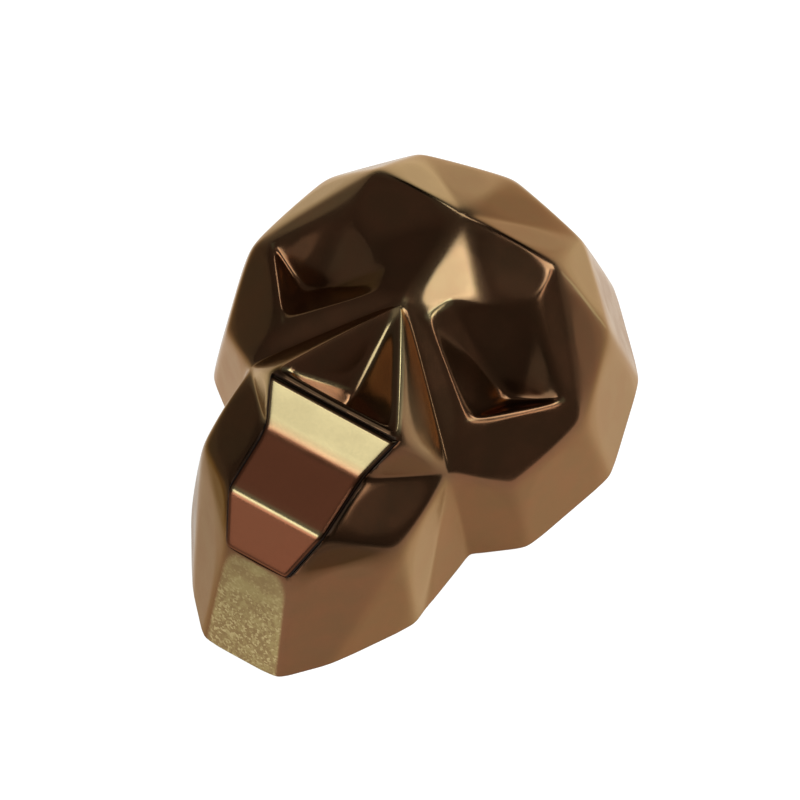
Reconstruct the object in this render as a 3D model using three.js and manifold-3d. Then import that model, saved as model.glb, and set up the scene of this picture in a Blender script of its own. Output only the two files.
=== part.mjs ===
// Faceted skull chocolate: a moulded half-relief shell, the soft filling inside it and the
// base that closes it. Millimetres. X runs across the face, Y from the chin up to the crown and
// Z up from the flat base. The origin is the middle of the base.

import * as THREE from 'three';
import { ConvexGeometry } from 'three/addons/geometries/ConvexGeometry.js';
import { mergeVertices } from 'three/addons/utils/BufferGeometryUtils.js';
import Module from 'manifold-3d';

const wasm = await Module();
wasm.setup();

// Overall size of the moulded piece
const LENGTH = 38.0; // chin to crown
const BREADTH = 28.5; // temple to temple, at the base
const RELIEF = 16.7; // base to the bridge of the nose

// Sizes that stand by themselves
const SHELL_WALL = 1.8; // moulded shell, under every facet
const BASE_THICKNESS = 1.8; // closing layer, flush with the rim
const FIT_GAP = 0.3; // between the shell, the filling and the base
const SOCKET_DEPTH = 4.2; // eye pit below its rim
const NOSE_DEPTH = 2.9; // nose pit below its rim, where its walls meet
const NOSE_RIM = 0.45; // flat rim round the nose pit
const SILL_DROP = 2.55; // the pit's lower wall, from the rim down to its foot
const SILL_LEAN = 0.26; // that wall leans by this much, so that the piece leaves its mould
const PLATE_STEP = 0.3; // mouth plate above the jaw
const PLATE_MARGIN = 0.2; // plate in from the jaw's side edges
const PLATE_TOP_MARGIN = 0.5; // plate below the nose rim
const PLATE_END_MARGIN = 0.15; // plate above the chin facet
const PLATE_ROOT = 1.5; // the plate's sides run down into the wall by this much
const EDGE_SOFTNESS = 0.26; // each facet stops this far short of its edges
const SECOND_SOFTNESS = 0.1; // the same on the second pass, which rounds what the first cut
const PLATE_SOFTNESS = 0.12;
const PLATE_SECOND_SOFTNESS = 0.05;

// Working allowances
const SKIRT = 2.5; // the walls run on this far below the base before they are cut level
const CUT_MARGIN = 4.0; // how far cutting blocks reach past the piece
const SLAB_LAP = 0.05; // cutting slabs reach this far into each other and out of the surface
const NARROW_SHARE = 0.4; // a narrow facet's edges move in by no more than this share of its width
const ACUTE_LIMIT = 3.0; // a corner never moves further than this many insets
const SHARPEST_CORNER = 0.02; // a corner sharper than this is inset as if it were this sharp
const ICOSAHEDRON_INSIDE = Math.sqrt((5 + 2 * Math.sqrt(5)) / 15); // its face distance at radius 1
const SAME_PLACE = 1e-5; // corners nearer than this are one corner
const CORNER_FANNED = 4; // a face with more corners than this is fanned from its middle

// The landmarks below are drawn at this size and stretched to the overall size
const DRAWN = { length: 38.0, breadth: 28.5, relief: 16.7 };

function at(x, y, z) {
  return new THREE.Vector3(
    (x * BREADTH) / DRAWN.breadth,
    (y * LENGTH) / DRAWN.length - LENGTH / 2,
    (z * RELIEF) / DRAWN.relief,
  );
}

// A plane through three corners
function through(a, b, c) {
  return new THREE.Plane().setFromCoplanarPoints(a, b, c);
}

// Level planes that pass through a drawn place
const acrossX = (x) => new THREE.Plane(new THREE.Vector3(1, 0, 0), -at(x, 0, 0).x);
const acrossY = (y) => new THREE.Plane(new THREE.Vector3(0, 1, 0), -at(0, y, 0).y);
const acrossZ = (z) => new THREE.Plane(new THREE.Vector3(0, 0, 1), -at(0, 0, z).z);

// The point where three planes meet
function meet(p, q, r) {
  const rows = new THREE.Matrix3().set(
    p.normal.x, p.normal.y, p.normal.z,
    q.normal.x, q.normal.y, q.normal.z,
    r.normal.x, r.normal.y, r.normal.z,
  );
  return new THREE.Vector3(-p.constant, -q.constant, -r.constant).applyMatrix3(rows.invert());
}

// Corners of the right-hand half. A corner that only some facets fix is given its drawn place;
// one that has to keep a four-sided facet flat is where that facet's plane meets the others.
function landmarks() {
  const k = {};

  // Outline of the base
  k.chinFoot = at(2.8, 0, 0);
  k.jawFrontFoot = at(5.4, 2.8, 0);
  k.jawRearFoot = at(8.5, 7.8, 0);
  k.notchFoot = at(9.1, 14.1, 0);
  k.cheekFoot = at(12.15, 16.5, 0);
  k.templeFoot = at(14.25, 23.7, 0);
  k.crownSideFoot = at(12.35, 30.8, 0);
  k.crownBackFoot = at(7.3, 36.0, 0);
  k.crownEndFoot = at(0, 38.0, 0);

  // Tops of the side walls
  k.chinTop = at(2.3, 2.3, 10.8);
  const jawFront = through(k.chinFoot, k.jawFrontFoot, k.chinTop);
  k.jawAngle = meet(jawFront, acrossY(8.0), acrossZ(10.7));
  k.cheekRoot = at(7.6, 14.0, 11.2);
  const cheekWall = through(k.notchFoot, k.cheekFoot, k.cheekRoot);
  k.cheekFront = meet(cheekWall, acrossY(16.4), acrossZ(8.5));
  const templeFront = through(k.cheekFoot, k.templeFoot, k.cheekFront);
  k.cheekSide = meet(templeFront, acrossY(22.6), acrossZ(8.7));
  const templeRear = through(k.templeFoot, k.crownSideFoot, k.cheekSide);
  k.temple = meet(templeRear, acrossY(29.0), acrossZ(9.2));
  k.crownPeak = at(0, 35.1, 10.2);
  const crownEnd = through(k.crownBackFoot, k.crownEndFoot, k.crownPeak);
  k.crownCorner = meet(crownEnd, acrossX(6.0), acrossZ(10.4));

  // Forehead
  k.foreheadTop = at(0, 28.5, 16.4);
  k.foreheadCorner = at(6.8, 29.0, 15.1);
  k.browOuter = at(6.95, 25.7, 14.85);
  k.noseTop = at(0, 21.05, 16.7);
  k.browInner = at(1.8, 21.0, 16.15);
  const foreheadInner = through(k.foreheadTop, k.noseTop, k.browInner);
  const foreheadOuter = through(k.foreheadTop, k.foreheadCorner, k.browOuter);
  k.browRise = meet(foreheadInner, acrossX(2.45), acrossY(22.7));
  k.browMiddle = meet(foreheadInner, foreheadOuter, acrossY(24.0));

  // Where the crown's shoulder, its end wall and the upper temple facet come together
  const crownSide = through(k.crownSideFoot, k.crownBackFoot, k.temple);
  const crownSlope = through(k.foreheadCorner, k.temple, k.crownCorner);
  k.crownShoulder = meet(crownSide, crownEnd, crownSlope);

  // Cheek and eye socket
  const cheek = through(k.cheekRoot, k.cheekFront, k.cheekSide);
  const noseSlope = through(k.noseTop, k.cheekRoot, k.browInner);
  const browSlope = through(k.foreheadCorner, k.cheekSide, k.browOuter);
  k.socketLow = meet(cheek, noseSlope, acrossY(17.2));
  k.socketOuter = meet(cheek, browSlope, acrossX(11.1));
  const socketRim = through(k.browInner, k.browOuter, k.socketLow);
  k.socketPit = meet(socketRim, acrossX(7.6), acrossY(21.1));
  k.socketPit.z -= SOCKET_DEPTH;

  // Nose pit and mouth
  k.noseFoot = at(4.9, 12.3, 16.7);
  const noseOutline = [k.noseTop, mirrored(k.noseFoot), k.noseFoot];
  [k.pitTop, , k.pitFoot] = insetCorners(noseOutline, NOSE_RIM);
  k.nosePit = at(0, 14.95, 16.7);
  k.nosePit.z -= NOSE_DEPTH;
  k.noseSill = new THREE.Vector3(0, k.pitFoot.y + SILL_LEAN, k.pitFoot.z - SILL_DROP);
  k.plateFold = at(3.6, 4.85, 13.9);
  const jawSlope = through(k.plateFold, k.jawAngle, k.cheekRoot);
  k.plateBend = meet(jawSlope, acrossX(3.65), acrossY(9.6));
  return k;
}

// Facets of the right-hand half, each anticlockwise seen from outside. A leading "~" names the
// mirrored corner, for the facets that cross the middle.
const CROSSING_FACETS = [
  ['~chinFoot', 'chinFoot', 'chinTop', '~chinTop'],
  ['~chinTop', 'chinTop', 'plateFold', '~plateFold'],
  ['~plateFold', 'plateFold', 'plateBend', '~plateBend'],
  ['~plateBend', 'plateBend', 'noseFoot', '~noseFoot'],
  ['~noseFoot', 'noseFoot', 'pitFoot', '~pitFoot'],
  ['~pitFoot', 'pitFoot', 'noseSill'],
];
const SIDE_FACETS = [
  ['chinFoot', 'jawFrontFoot', 'jawAngle', 'chinTop'],
  ['jawFrontFoot', 'jawRearFoot', 'jawAngle'],
  ['jawRearFoot', 'cheekRoot', 'jawAngle'],
  ['jawRearFoot', 'notchFoot', 'cheekRoot'],
  ['notchFoot', 'cheekFoot', 'cheekFront', 'cheekRoot'],
  ['cheekFoot', 'templeFoot', 'cheekSide', 'cheekFront'],
  ['templeFoot', 'crownSideFoot', 'temple', 'cheekSide'],
  ['crownSideFoot', 'crownBackFoot', 'crownShoulder', 'temple'],
  ['crownBackFoot', 'crownEndFoot', 'crownPeak', 'crownCorner', 'crownShoulder'],
  ['foreheadTop', 'crownCorner', 'crownPeak'],
  ['foreheadTop', 'foreheadCorner', 'crownCorner'],
  ['foreheadCorner', 'temple', 'crownShoulder', 'crownCorner'],
  ['foreheadCorner', 'cheekSide', 'temple'],
  ['foreheadCorner', 'browOuter', 'socketOuter', 'cheekSide'],
  ['cheekRoot', 'cheekFront', 'cheekSide', 'socketOuter', 'socketLow'],
  ['noseTop', 'cheekRoot', 'socketLow', 'browInner'],
  ['noseTop', 'noseFoot', 'cheekRoot'],
  ['noseFoot', 'plateBend', 'cheekRoot'],
  ['plateBend', 'plateFold', 'jawAngle', 'cheekRoot'],
  ['plateFold', 'chinTop', 'jawAngle'],
  ['noseTop', 'browInner', 'browRise', 'browMiddle', 'foreheadTop'],
  ['foreheadTop', 'browMiddle', 'browOuter', 'foreheadCorner'],
  ['browOuter', 'socketPit', 'socketOuter'],
  ['socketOuter', 'socketPit', 'socketLow'],
  ['socketLow', 'socketPit', 'browInner'],
  ['browInner', 'socketPit', 'browRise'],
  ['browRise', 'socketPit', 'browOuter', 'browMiddle'],
  ['noseFoot', 'noseTop', 'pitTop', 'pitFoot'],
  ['pitFoot', 'pitTop', 'nosePit'],
  ['pitFoot', 'nosePit', 'noseSill'],
];
const BASE_OUTLINE = [
  'chinFoot', 'jawFrontFoot', 'jawRearFoot', 'notchFoot', 'cheekFoot', 'templeFoot',
  'crownSideFoot', 'crownBackFoot', 'crownEndFoot',
];

const twin = (name) => (name.startsWith('~') ? name.slice(1) : `~${name}`);
const mirrored = (point) => new THREE.Vector3(-point.x, point.y, point.z);
const onMiddle = (point) => Math.abs(point.x) < SAME_PLACE;

// Runs the side walls on below the base: each foot slides down to where its two walls meet
function lowerFeet(k) {
  const wallAfter = BASE_OUTLINE.slice(0, -1).map((foot, i) => {
    const facet = SIDE_FACETS.find((f) => f[0] === foot && f[1] === BASE_OUTLINE[i + 1]);
    return through(...facet.slice(0, 3).map((name) => k[name]));
  });
  const chinWall = through(mirrored(k.chinFoot), k.chinFoot, k.chinTop);
  const crownWall = wallAfter[wallAfter.length - 1];
  const otherCrownWall = crownWall.clone();
  otherCrownWall.normal.x *= -1;
  const walls = [chinWall, ...wallAfter, otherCrownWall];
  const level = new THREE.Plane(new THREE.Vector3(0, 0, 1), SKIRT);
  const lowered = { ...k };
  BASE_OUTLINE.forEach((foot, i) => {
    lowered[foot] = meet(walls[i], walls[i + 1], level);
  });
  lowered.crownEndFoot.x = 0;
  return lowered;
}

// The closed polygon net of both halves
function skullNet(k) {
  const points = [];
  const number = {};
  for (const [name, point] of Object.entries(k)) {
    number[name] = points.push(point) - 1;
    number[twin(name)] = onMiddle(point) ? number[name] : points.push(mirrored(point)) - 1;
  }
  const numbered = (facet) => facet.map((name) => number[name]);
  const otherHalf = (facet) => numbered([...facet].reverse().map(twin));
  const base = [...BASE_OUTLINE.slice(0, -1).map(twin), ...[...BASE_OUTLINE].reverse()];
  const faces = [
    ...CROSSING_FACETS.map(numbered),
    ...SIDE_FACETS.map(numbered),
    ...SIDE_FACETS.map(otherHalf),
    numbered(base),
  ];
  return { points, faces };
}

// Twice a face's area, along the mean direction that it looks in
function areaVector(corners) {
  const area = new THREE.Vector3();
  corners.forEach((p, i) => area.add(p.clone().cross(corners[(i + 1) % corners.length])));
  return area;
}

const facing = (corners) => areaVector(corners).normalize();

// Rough width of a face across its narrow way
function widthOf(corners) {
  const count = corners.length;
  const around = corners.reduce((sum, p, i) => sum + p.distanceTo(corners[(i + 1) % count]), 0);
  return areaVector(corners).length() / around;
}

// The corners of a face after all its edges have moved in by the same distance
function insetCorners(corners, distance) {
  const normal = facing(corners);
  const count = corners.length;
  const inward = corners.map((p, i) => {
    const along = corners[(i + 1) % count].clone().sub(p).normalize();
    return normal.clone().cross(along).normalize();
  });
  return corners.map((p, i) => {
    const before = inward[(i + count - 1) % count];
    const after = inward[i];
    const spread = Math.max(1 + before.dot(after), SHARPEST_CORNER);
    const move = before.clone().add(after).multiplyScalar(distance / spread);
    return p.clone().add(move.clampLength(0, ACUTE_LIMIT * Math.abs(distance)));
  });
}

// The face on the left of every edge, by its two corners in order
function edgeFaces(faces) {
  const faceLeftOf = new Map();
  faces.forEach((face, f) => {
    face.forEach((p, i) => faceLeftOf.set(`${p}>${face[(i + 1) % face.length]}`, f));
  });
  return faceLeftOf;
}

// Rounds a net: every face shrinks a little, and new faces fill the edges and corners between
function soften({ points, faces }, distance) {
  const movedPoints = [];
  const movedNumber = faces.map((face) => {
    const places = face.map((p) => points[p]);
    const moved = insetCorners(places, Math.min(distance, NARROW_SHARE * widthOf(places)));
    return new Map(face.map((p, i) => [p, movedPoints.push(moved[i]) - 1]));
  });
  const faceLeftOf = edgeFaces(faces);
  const newFaces = faces.map((face, f) => face.map((p) => movedNumber[f].get(p)));
  for (const [edge, left] of faceLeftOf) {
    const [a, b] = edge.split('>').map(Number);
    if (a > b) continue;
    const right = faceLeftOf.get(`${b}>${a}`);
    newFaces.push([
      movedNumber[left].get(b), movedNumber[left].get(a),
      movedNumber[right].get(a), movedNumber[right].get(b),
    ]);
  }
  points.forEach((_, p) => {
    const ring = [];
    const start = faces.findIndex((face) => face.includes(p));
    let f = start;
    do {
      ring.unshift(movedNumber[f].get(p));
      const face = faces[f];
      const next = face[(face.indexOf(p) + 1) % face.length];
      f = faceLeftOf.get(`${next}>${p}`);
    } while (f !== start);
    newFaces.push(ring);
  });
  return { points: movedPoints, faces: newFaces };
}

// Triangles of a net: a face is fanned from its first corner, or from its middle if it has many
function netGeometry({ points, faces }) {
  const all = points.map((p) => p.clone());
  const index = [];
  for (const face of faces) {
    if (face.length <= CORNER_FANNED) {
      for (let i = 2; i < face.length; i += 1) index.push(face[0], face[i - 1], face[i]);
      continue;
    }
    const middle = new THREE.Vector3();
    face.forEach((p) => middle.addScaledVector(points[p], 1 / face.length));
    const m = all.push(middle) - 1;
    face.forEach((p, i) => index.push(m, p, face[(i + 1) % face.length]));
  }
  const geometry = new THREE.BufferGeometry().setFromPoints(all);
  geometry.setIndex(index);
  return geometry;
}

function cornersOf(geometry) {
  const positions = mergeVertices(geometry.deleteAttribute('normal').deleteAttribute('uv'));
  const count = positions.attributes.position.count;
  return Array.from({ length: count }, (_, i) => (
    new THREE.Vector3().fromBufferAttribute(positions.attributes.position, i)
  ));
}

function solidOf(geometry) {
  const bare = geometry.clone();
  bare.deleteAttribute('normal');
  bare.deleteAttribute('uv');
  const merged = mergeVertices(bare, SAME_PLACE);
  const vertProperties = new Float32Array(merged.attributes.position.array);
  const triVerts = new Uint32Array(merged.index.array);
  return new wasm.Manifold(new wasm.Mesh({ numProp: 3, vertProperties, triVerts }));
}

function geometryOf(solid) {
  const mesh = solid.getMesh();
  const geometry = new THREE.BufferGeometry();
  geometry.setAttribute('position', new THREE.BufferAttribute(mesh.vertProperties, 3));
  geometry.setIndex(new THREE.BufferAttribute(mesh.triVerts, 1));
  return geometry;
}

// A block that reaches past the piece all round, between two heights
function slice(low, high) {
  const block = new THREE.BoxGeometry(
    BREADTH + 2 * CUT_MARGIN,
    LENGTH + 2 * CUT_MARGIN,
    high - low,
  );
  block.translate(0, 0, (low + high) / 2);
  return solidOf(block);
}

// The room left inside when a wall of this thickness lies under every facet but the base: a slab
// comes off under each facet and a capsule along each valley, where the slabs part.
function hollow({ points, faces }, wall) {
  const faceLeftOf = edgeFaces(faces);
  const normals = faces.map((face) => facing(face.map((p) => points[p])));
  const ball = cornersOf(new THREE.IcosahedronGeometry(wall / ICOSAHEDRON_INSIDE));
  const ballAt = (p) => ball.map((corner) => corner.clone().add(points[p]));
  let room = solidOf(netGeometry({ points, faces }));
  const takeOff = (corners) => {
    room = room.subtract(solidOf(new ConvexGeometry(corners)));
  };
  faces.slice(0, -1).forEach((face, f) => {
    const wide = insetCorners(face.map((p) => points[p]), -SLAB_LAP);
    const outer = wide.map((p) => p.clone().addScaledVector(normals[f], SLAB_LAP));
    const inner = wide.map((p) => p.clone().addScaledVector(normals[f], -wall));
    takeOff([...outer, ...inner]);
  });
  for (const [edge, left] of faceLeftOf) {
    const [a, b] = edge.split('>').map(Number);
    const right = faceLeftOf.get(`${b}>${a}`);
    const along = points[b].clone().sub(points[a]);
    const isValley = normals[left].clone().cross(normals[right]).dot(along) < 0;
    if (a < b && isValley) takeOff([...ballAt(a), ...ballAt(b)]);
  }
  return room;
}

// The raised mouth plate: rows of corners along the jaw's folded middle, moved out by its step
function mouthPlate(k) {
  const slide = (from, to, distance) => from.clone().lerp(to, distance / from.distanceTo(to));
  const row = [
    slide(k.chinTop, k.plateFold, PLATE_END_MARGIN),
    k.plateFold,
    k.plateBend,
    slide(k.noseFoot, k.plateBend, PLATE_TOP_MARGIN),
  ];
  const rise = row.slice(1).map((p, i) => {
    const along = p.clone().sub(row[i]).setX(0).normalize();
    return new THREE.Vector3(0, -along.z, along.y);
  });
  const upper = row.map((p, i) => {
    const before = rise[Math.max(i - 1, 0)];
    const after = rise[Math.min(i, rise.length - 1)];
    const move = before.clone().add(after).multiplyScalar(PLATE_STEP / (1 + before.dot(after)));
    return p.clone().add(move).setX(p.x - PLATE_MARGIN);
  });
  const lower = upper.map((p) => p.clone().setZ(p.z - PLATE_ROOT));
  const last = row.length - 1;
  const points = [...upper, ...upper.map(mirrored), ...lower, ...lower.map(mirrored)];
  const [right, left, rightLow, leftLow] = [0, 1, 2, 3].map((side) => (i) => side * (last + 1) + i);
  const faces = [
    [leftLow(0), rightLow(0), right(0), left(0)],
    [rightLow(last), leftLow(last), left(last), right(last)],
  ];
  for (let i = 0; i < last; i += 1) {
    faces.push([left(i), right(i), right(i + 1), left(i + 1)]);
    faces.push([rightLow(i), leftLow(i), leftLow(i + 1), rightLow(i + 1)]);
    faces.push([right(i), rightLow(i), rightLow(i + 1), right(i + 1)]);
    faces.push([leftLow(i), left(i), left(i + 1), leftLow(i + 1)]);
  }
  const net = soften(soften({ points, faces }, PLATE_SOFTNESS), PLATE_SECOND_SOFTNESS);
  return solidOf(netGeometry(net));
}

const corners = landmarks();
const skull = skullNet(lowerFeet(corners));
const fittedRoom = hollow(skull, SHELL_WALL + FIT_GAP);

function chocolateShell() {
  const rounded = soften(soften(skull, EDGE_SOFTNESS), SECOND_SOFTNESS);
  const outer = solidOf(netGeometry(rounded)).add(mouthPlate(corners));
  return outer.intersect(slice(0, RELIEF + CUT_MARGIN)).subtract(hollow(skull, SHELL_WALL));
}

function filling() {
  return fittedRoom.intersect(slice(BASE_THICKNESS + FIT_GAP, RELIEF + CUT_MARGIN));
}

function closingBase() {
  return fittedRoom.intersect(slice(0, BASE_THICKNESS));
}

const lustre = new THREE.MeshStandardMaterial({ color: 0x8a6446, roughness: 0.34, metalness: 0.9 });
const ganache = new THREE.MeshStandardMaterial({ color: 0x4a2c1c, roughness: 0.6, metalness: 0 });
const chocolate = new THREE.MeshStandardMaterial({ color: 0x3a2115, roughness: 0.45, metalness: 0 });

const part = new THREE.Group();
for (const [name, solid, material] of [
  ['chocolate_shell', chocolateShell(), lustre],
  ['filling', filling(), ganache],
  ['closing_base', closingBase(), chocolate],
]) {
  const mesh = new THREE.Mesh(geometryOf(solid), material);
  mesh.name = name;
  part.add(mesh);
}

export default part;
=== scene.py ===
"""Looks of the faceted skull chocolate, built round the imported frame.

The frame is in metres. The skull's own corners are written in millimetres, in the frame's axes:
X across the face, Y from the chin up to the crown, Z up from the flat base.
"""

import logging
import math
from dataclasses import dataclass, field
from enum import Enum

import bmesh
import bpy
from bpy.types import Material, Mesh, Node, NodeSocket, NodeTree, Object
from mathutils import Matrix, Vector


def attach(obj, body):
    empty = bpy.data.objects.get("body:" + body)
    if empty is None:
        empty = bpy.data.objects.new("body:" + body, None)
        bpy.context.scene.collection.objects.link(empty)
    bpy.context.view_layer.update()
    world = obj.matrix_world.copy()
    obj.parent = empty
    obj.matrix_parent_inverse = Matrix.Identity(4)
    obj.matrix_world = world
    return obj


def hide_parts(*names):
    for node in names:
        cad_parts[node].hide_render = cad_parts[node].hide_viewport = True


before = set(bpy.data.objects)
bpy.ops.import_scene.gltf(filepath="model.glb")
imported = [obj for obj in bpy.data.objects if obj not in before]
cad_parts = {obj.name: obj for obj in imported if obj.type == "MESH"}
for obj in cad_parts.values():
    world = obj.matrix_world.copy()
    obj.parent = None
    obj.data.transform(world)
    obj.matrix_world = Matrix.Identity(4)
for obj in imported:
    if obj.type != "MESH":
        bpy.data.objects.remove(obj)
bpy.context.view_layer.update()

LOG = logging.getLogger("skull_chocolate")
MM = 0.001
SENSOR = 36.0  # width of the camera's sensor, in millimetres
SOFT_WHITE = (0.8, 1.0, 1.05)  # slightly cool light of most lamps, against the warm lustre
NARROW_SHARE = 0.4  # a narrow face's edges move in by no more than this share of its width
ACUTE_LIMIT = 3.0  # a corner never moves further than this many insets
SHARPEST_TURN = 0.04  # a corner sharper or flatter than this is inset as if it were this sharp
GROOVE_TOP = 1.0  # how far above the jaw the block starts that cuts the groove
ARC_STEPS = 4  # steps in the rounding of a crease of the mouth plate
RIM_STEPS = 4  # steps in the rounding of its rim
FLAT_COLUMNS = 4  # columns on each half of its flat top
SHARP_ANGLE = math.radians(60)  # an edge that turns further is shaded sharp
SAME_PLACE = 1e-7  # points nearer than this, in metres, are one
BASE_LEVEL = 1e-6  # a corner lower than this, in metres, lies on the base
BEAD_SIZE = "bead_size"  # attribute that holds each row's largest radius
SMALLEST_BEAD, LARGEST_BEAD = 0.55, 1.15  # as shares of that radius
MELT_LEVEL = 0.3  # the lower, the more neighbouring beads run together
GRAIN_CONTRAST, CLUMP_CONTRAST = (0.25, 0.75), (0.3, 0.7)  # range of the noise that is used
FLECK_STRETCH = (1.0, 1.0, 0.8)  # makes the flecks a little taller than wide
FLECK_SWIRL = 0.7  # how far a fleck's outline wanders, as a share of its size
FLECK_EDGE = (0.15, 0.45)  # where a fleck starts and ends to fade, as shares of its cell

Face = list[int]
Corners = dict[str, Vector]
Colour = tuple[float, float, float]


class Mask(Enum):
    """Names of the point attributes that the lustre reads."""

    POWDER = "loose_powder"
    # thin lustre, and painted shade: darker lustre put on facets, creases and rims where shade falls
    THIN = "thin_lustre"
    RIDGE = "ridge_polish"
    COPPER = "copper_tone"
    # painted highlight: pale gold lustre put where highlights fall
    GOLD_HIGHLIGHT = "pale_gold"


# Nets of flat faces


@dataclass
class Net:
    """A closed net of flat faces.

    Args:
        points: Corner places in millimetres.
        faces: Corner numbers of each face, anticlockwise seen from outside.
        names: The facet each face belongs to, empty on rounded edges and corners.
    """

    points: list[Vector]
    faces: list[Face]
    names: list[str]

    def area_vector(self, face: Face) -> Vector:
        """Give twice a face's area, along the mean direction that it looks in."""
        area = Vector()
        for here, after in zip(face, face[1:] + face[:1]):
            area += self.points[here].cross(self.points[after])
        return area

    def facing(self, face: Face) -> Vector:
        """Give the direction a face looks in, as a unit normal."""
        return self.area_vector(face).normalized()

    def width(self, face: Face) -> float:
        """Give the rough width of a face across its narrow way."""
        ends = zip(face, face[1:] + face[:1])
        around = sum((self.points[after] - self.points[here]).length for here, after in ends)
        return self.area_vector(face).length / around

    def inset(self, face: Face, *distances: float) -> list[Vector]:
        """Move a face's edges inwards.

        Args:
            face: Corner numbers of the face.
            distances: How far each edge moves, in millimetres, or one value for all.

        Returns:
            The new corners, in the face's order.
        """
        normal = self.facing(face)
        steps = list(distances) * (len(face) // len(distances))
        inward = []
        for here, after in zip(face, face[1:] + face[:1]):
            along = (self.points[after] - self.points[here]).normalized()
            inward.append(normal.cross(along).normalized())
        moved = []
        for number, corner in enumerate(face):
            before, after = inward[number - 1], inward[number]
            first, second = steps[number - 1], steps[number]
            turn = before.dot(after)
            spread = max(1 - turn * turn, SHARPEST_TURN)
            move = before * (first - turn * second) + after * (second - turn * first)
            move /= spread
            longest = ACUTE_LIMIT * max(first, second)
            if move.length > longest:
                move *= longest / move.length
            moved.append(self.points[corner] + move)
        return moved

    def left_faces(self) -> dict[tuple[int, int], int]:
        """Find the face on the left of every edge.

        Returns:
            Face numbers by the edge's two corners in order.
        """
        found = {}
        for number, face in enumerate(self.faces):
            for here, after in zip(face, face[1:] + face[:1]):
                found[here, after] = number
        return found

    def softened(self, distance: float, valley: float, wide: dict[frozenset[int], float]) -> "Net":
        """Shrink every face a little and fill the edges and corners between.

        Args:
            distance: How far each face stops short of its ridges, in millimetres.
            valley: The same for edges that are valleys.
            wide: The same for single edges, by their two corners.

        Returns:
            The rounded net.
        """
        points: list[Vector] = []
        moved: list[dict[int, int]] = []
        left = self.left_faces()
        normals = [self.facing(face) for face in self.faces]
        for number, face in enumerate(self.faces):
            limit = NARROW_SHARE * self.width(face)
            steps = []
            for here, after in zip(face, face[1:] + face[:1]):
                along = self.points[after] - self.points[here]
                fold = normals[number].cross(normals[left[after, here]]).dot(along)
                usual = valley if fold < 0 else distance
                steps.append(min(limit, wide.get(frozenset((here, after)), usual)))
            moved.append({c: len(points) + i for i, c in enumerate(face)})
            points += self.inset(face, *steps)
        faces = [[moved[n][c] for c in face] for n, face in enumerate(self.faces)]
        names = list(self.names)
        for (a, b), side in left.items():
            if a > b:
                continue
            other = left[b, a]
            faces.append([moved[side][b], moved[side][a], moved[other][a], moved[other][b]])
            names.append("")
        first = {}
        for number, face in enumerate(self.faces):
            for corner in face:
                first.setdefault(corner, number)
        for corner, start in first.items():
            ring, number = [], start
            while True:
                ring.insert(0, moved[number][corner])
                face = self.faces[number]
                after = face[(face.index(corner) + 1) % len(face)]
                number = left[after, corner]
                if number == start:
                    break
            faces.append(ring)
            names.append("")
        return Net(points, faces, names)

    def supported(self, distance: float) -> "Net":
        """Give every facet a second, inner outline that holds it flat when it is subdivided.

        Args:
            distance: How far the inner outline lies inside the facet, in millimetres.

        Returns:
            The net with the extra outlines.
        """
        points, faces, names = list(self.points), [], []
        for face, name in zip(self.faces, self.names):
            if not name:
                faces.append(face)
                names.append(name)
                continue
            inner = [len(points) + i for i in range(len(face))]
            points += self.inset(face, min(distance, NARROW_SHARE * self.width(face)))
            count = len(face)
            for i in range(count):
                j = (i + 1) % count
                faces.append([face[i], face[j], inner[j], inner[i]])
                names.append(name)
            faces.append(inner)
            names.append(name)
        return Net(points, faces, names)


# The skull's form


def meet(*planes: tuple[Vector, Vector]) -> Vector:
    """Find the point where three planes meet.

    Args:
        planes: Three planes, each a point on it and its normal.

    Returns:
        The common point.
    """
    rows = Matrix([normal for _, normal in planes])
    ends = Vector([point.dot(normal) for point, normal in planes])
    return rows.inverted() @ ends


def through(a: Vector, b: Vector, c: Vector) -> tuple[Vector, Vector]:
    """Give the plane through three corners as a point and a normal."""
    return a, (b - a).cross(c - a).normalized()


def across(axis: int, place: float) -> tuple[Vector, Vector]:
    """Give the plane at one place along an axis, square to it."""
    normal = Vector([float(i == axis) for i in range(3)])
    return normal * place, normal


def twin(name: str) -> str:
    """Give the name of a corner's or facet's mirror image."""
    return name[1:] if name.startswith("~") else "~" + name


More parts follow.
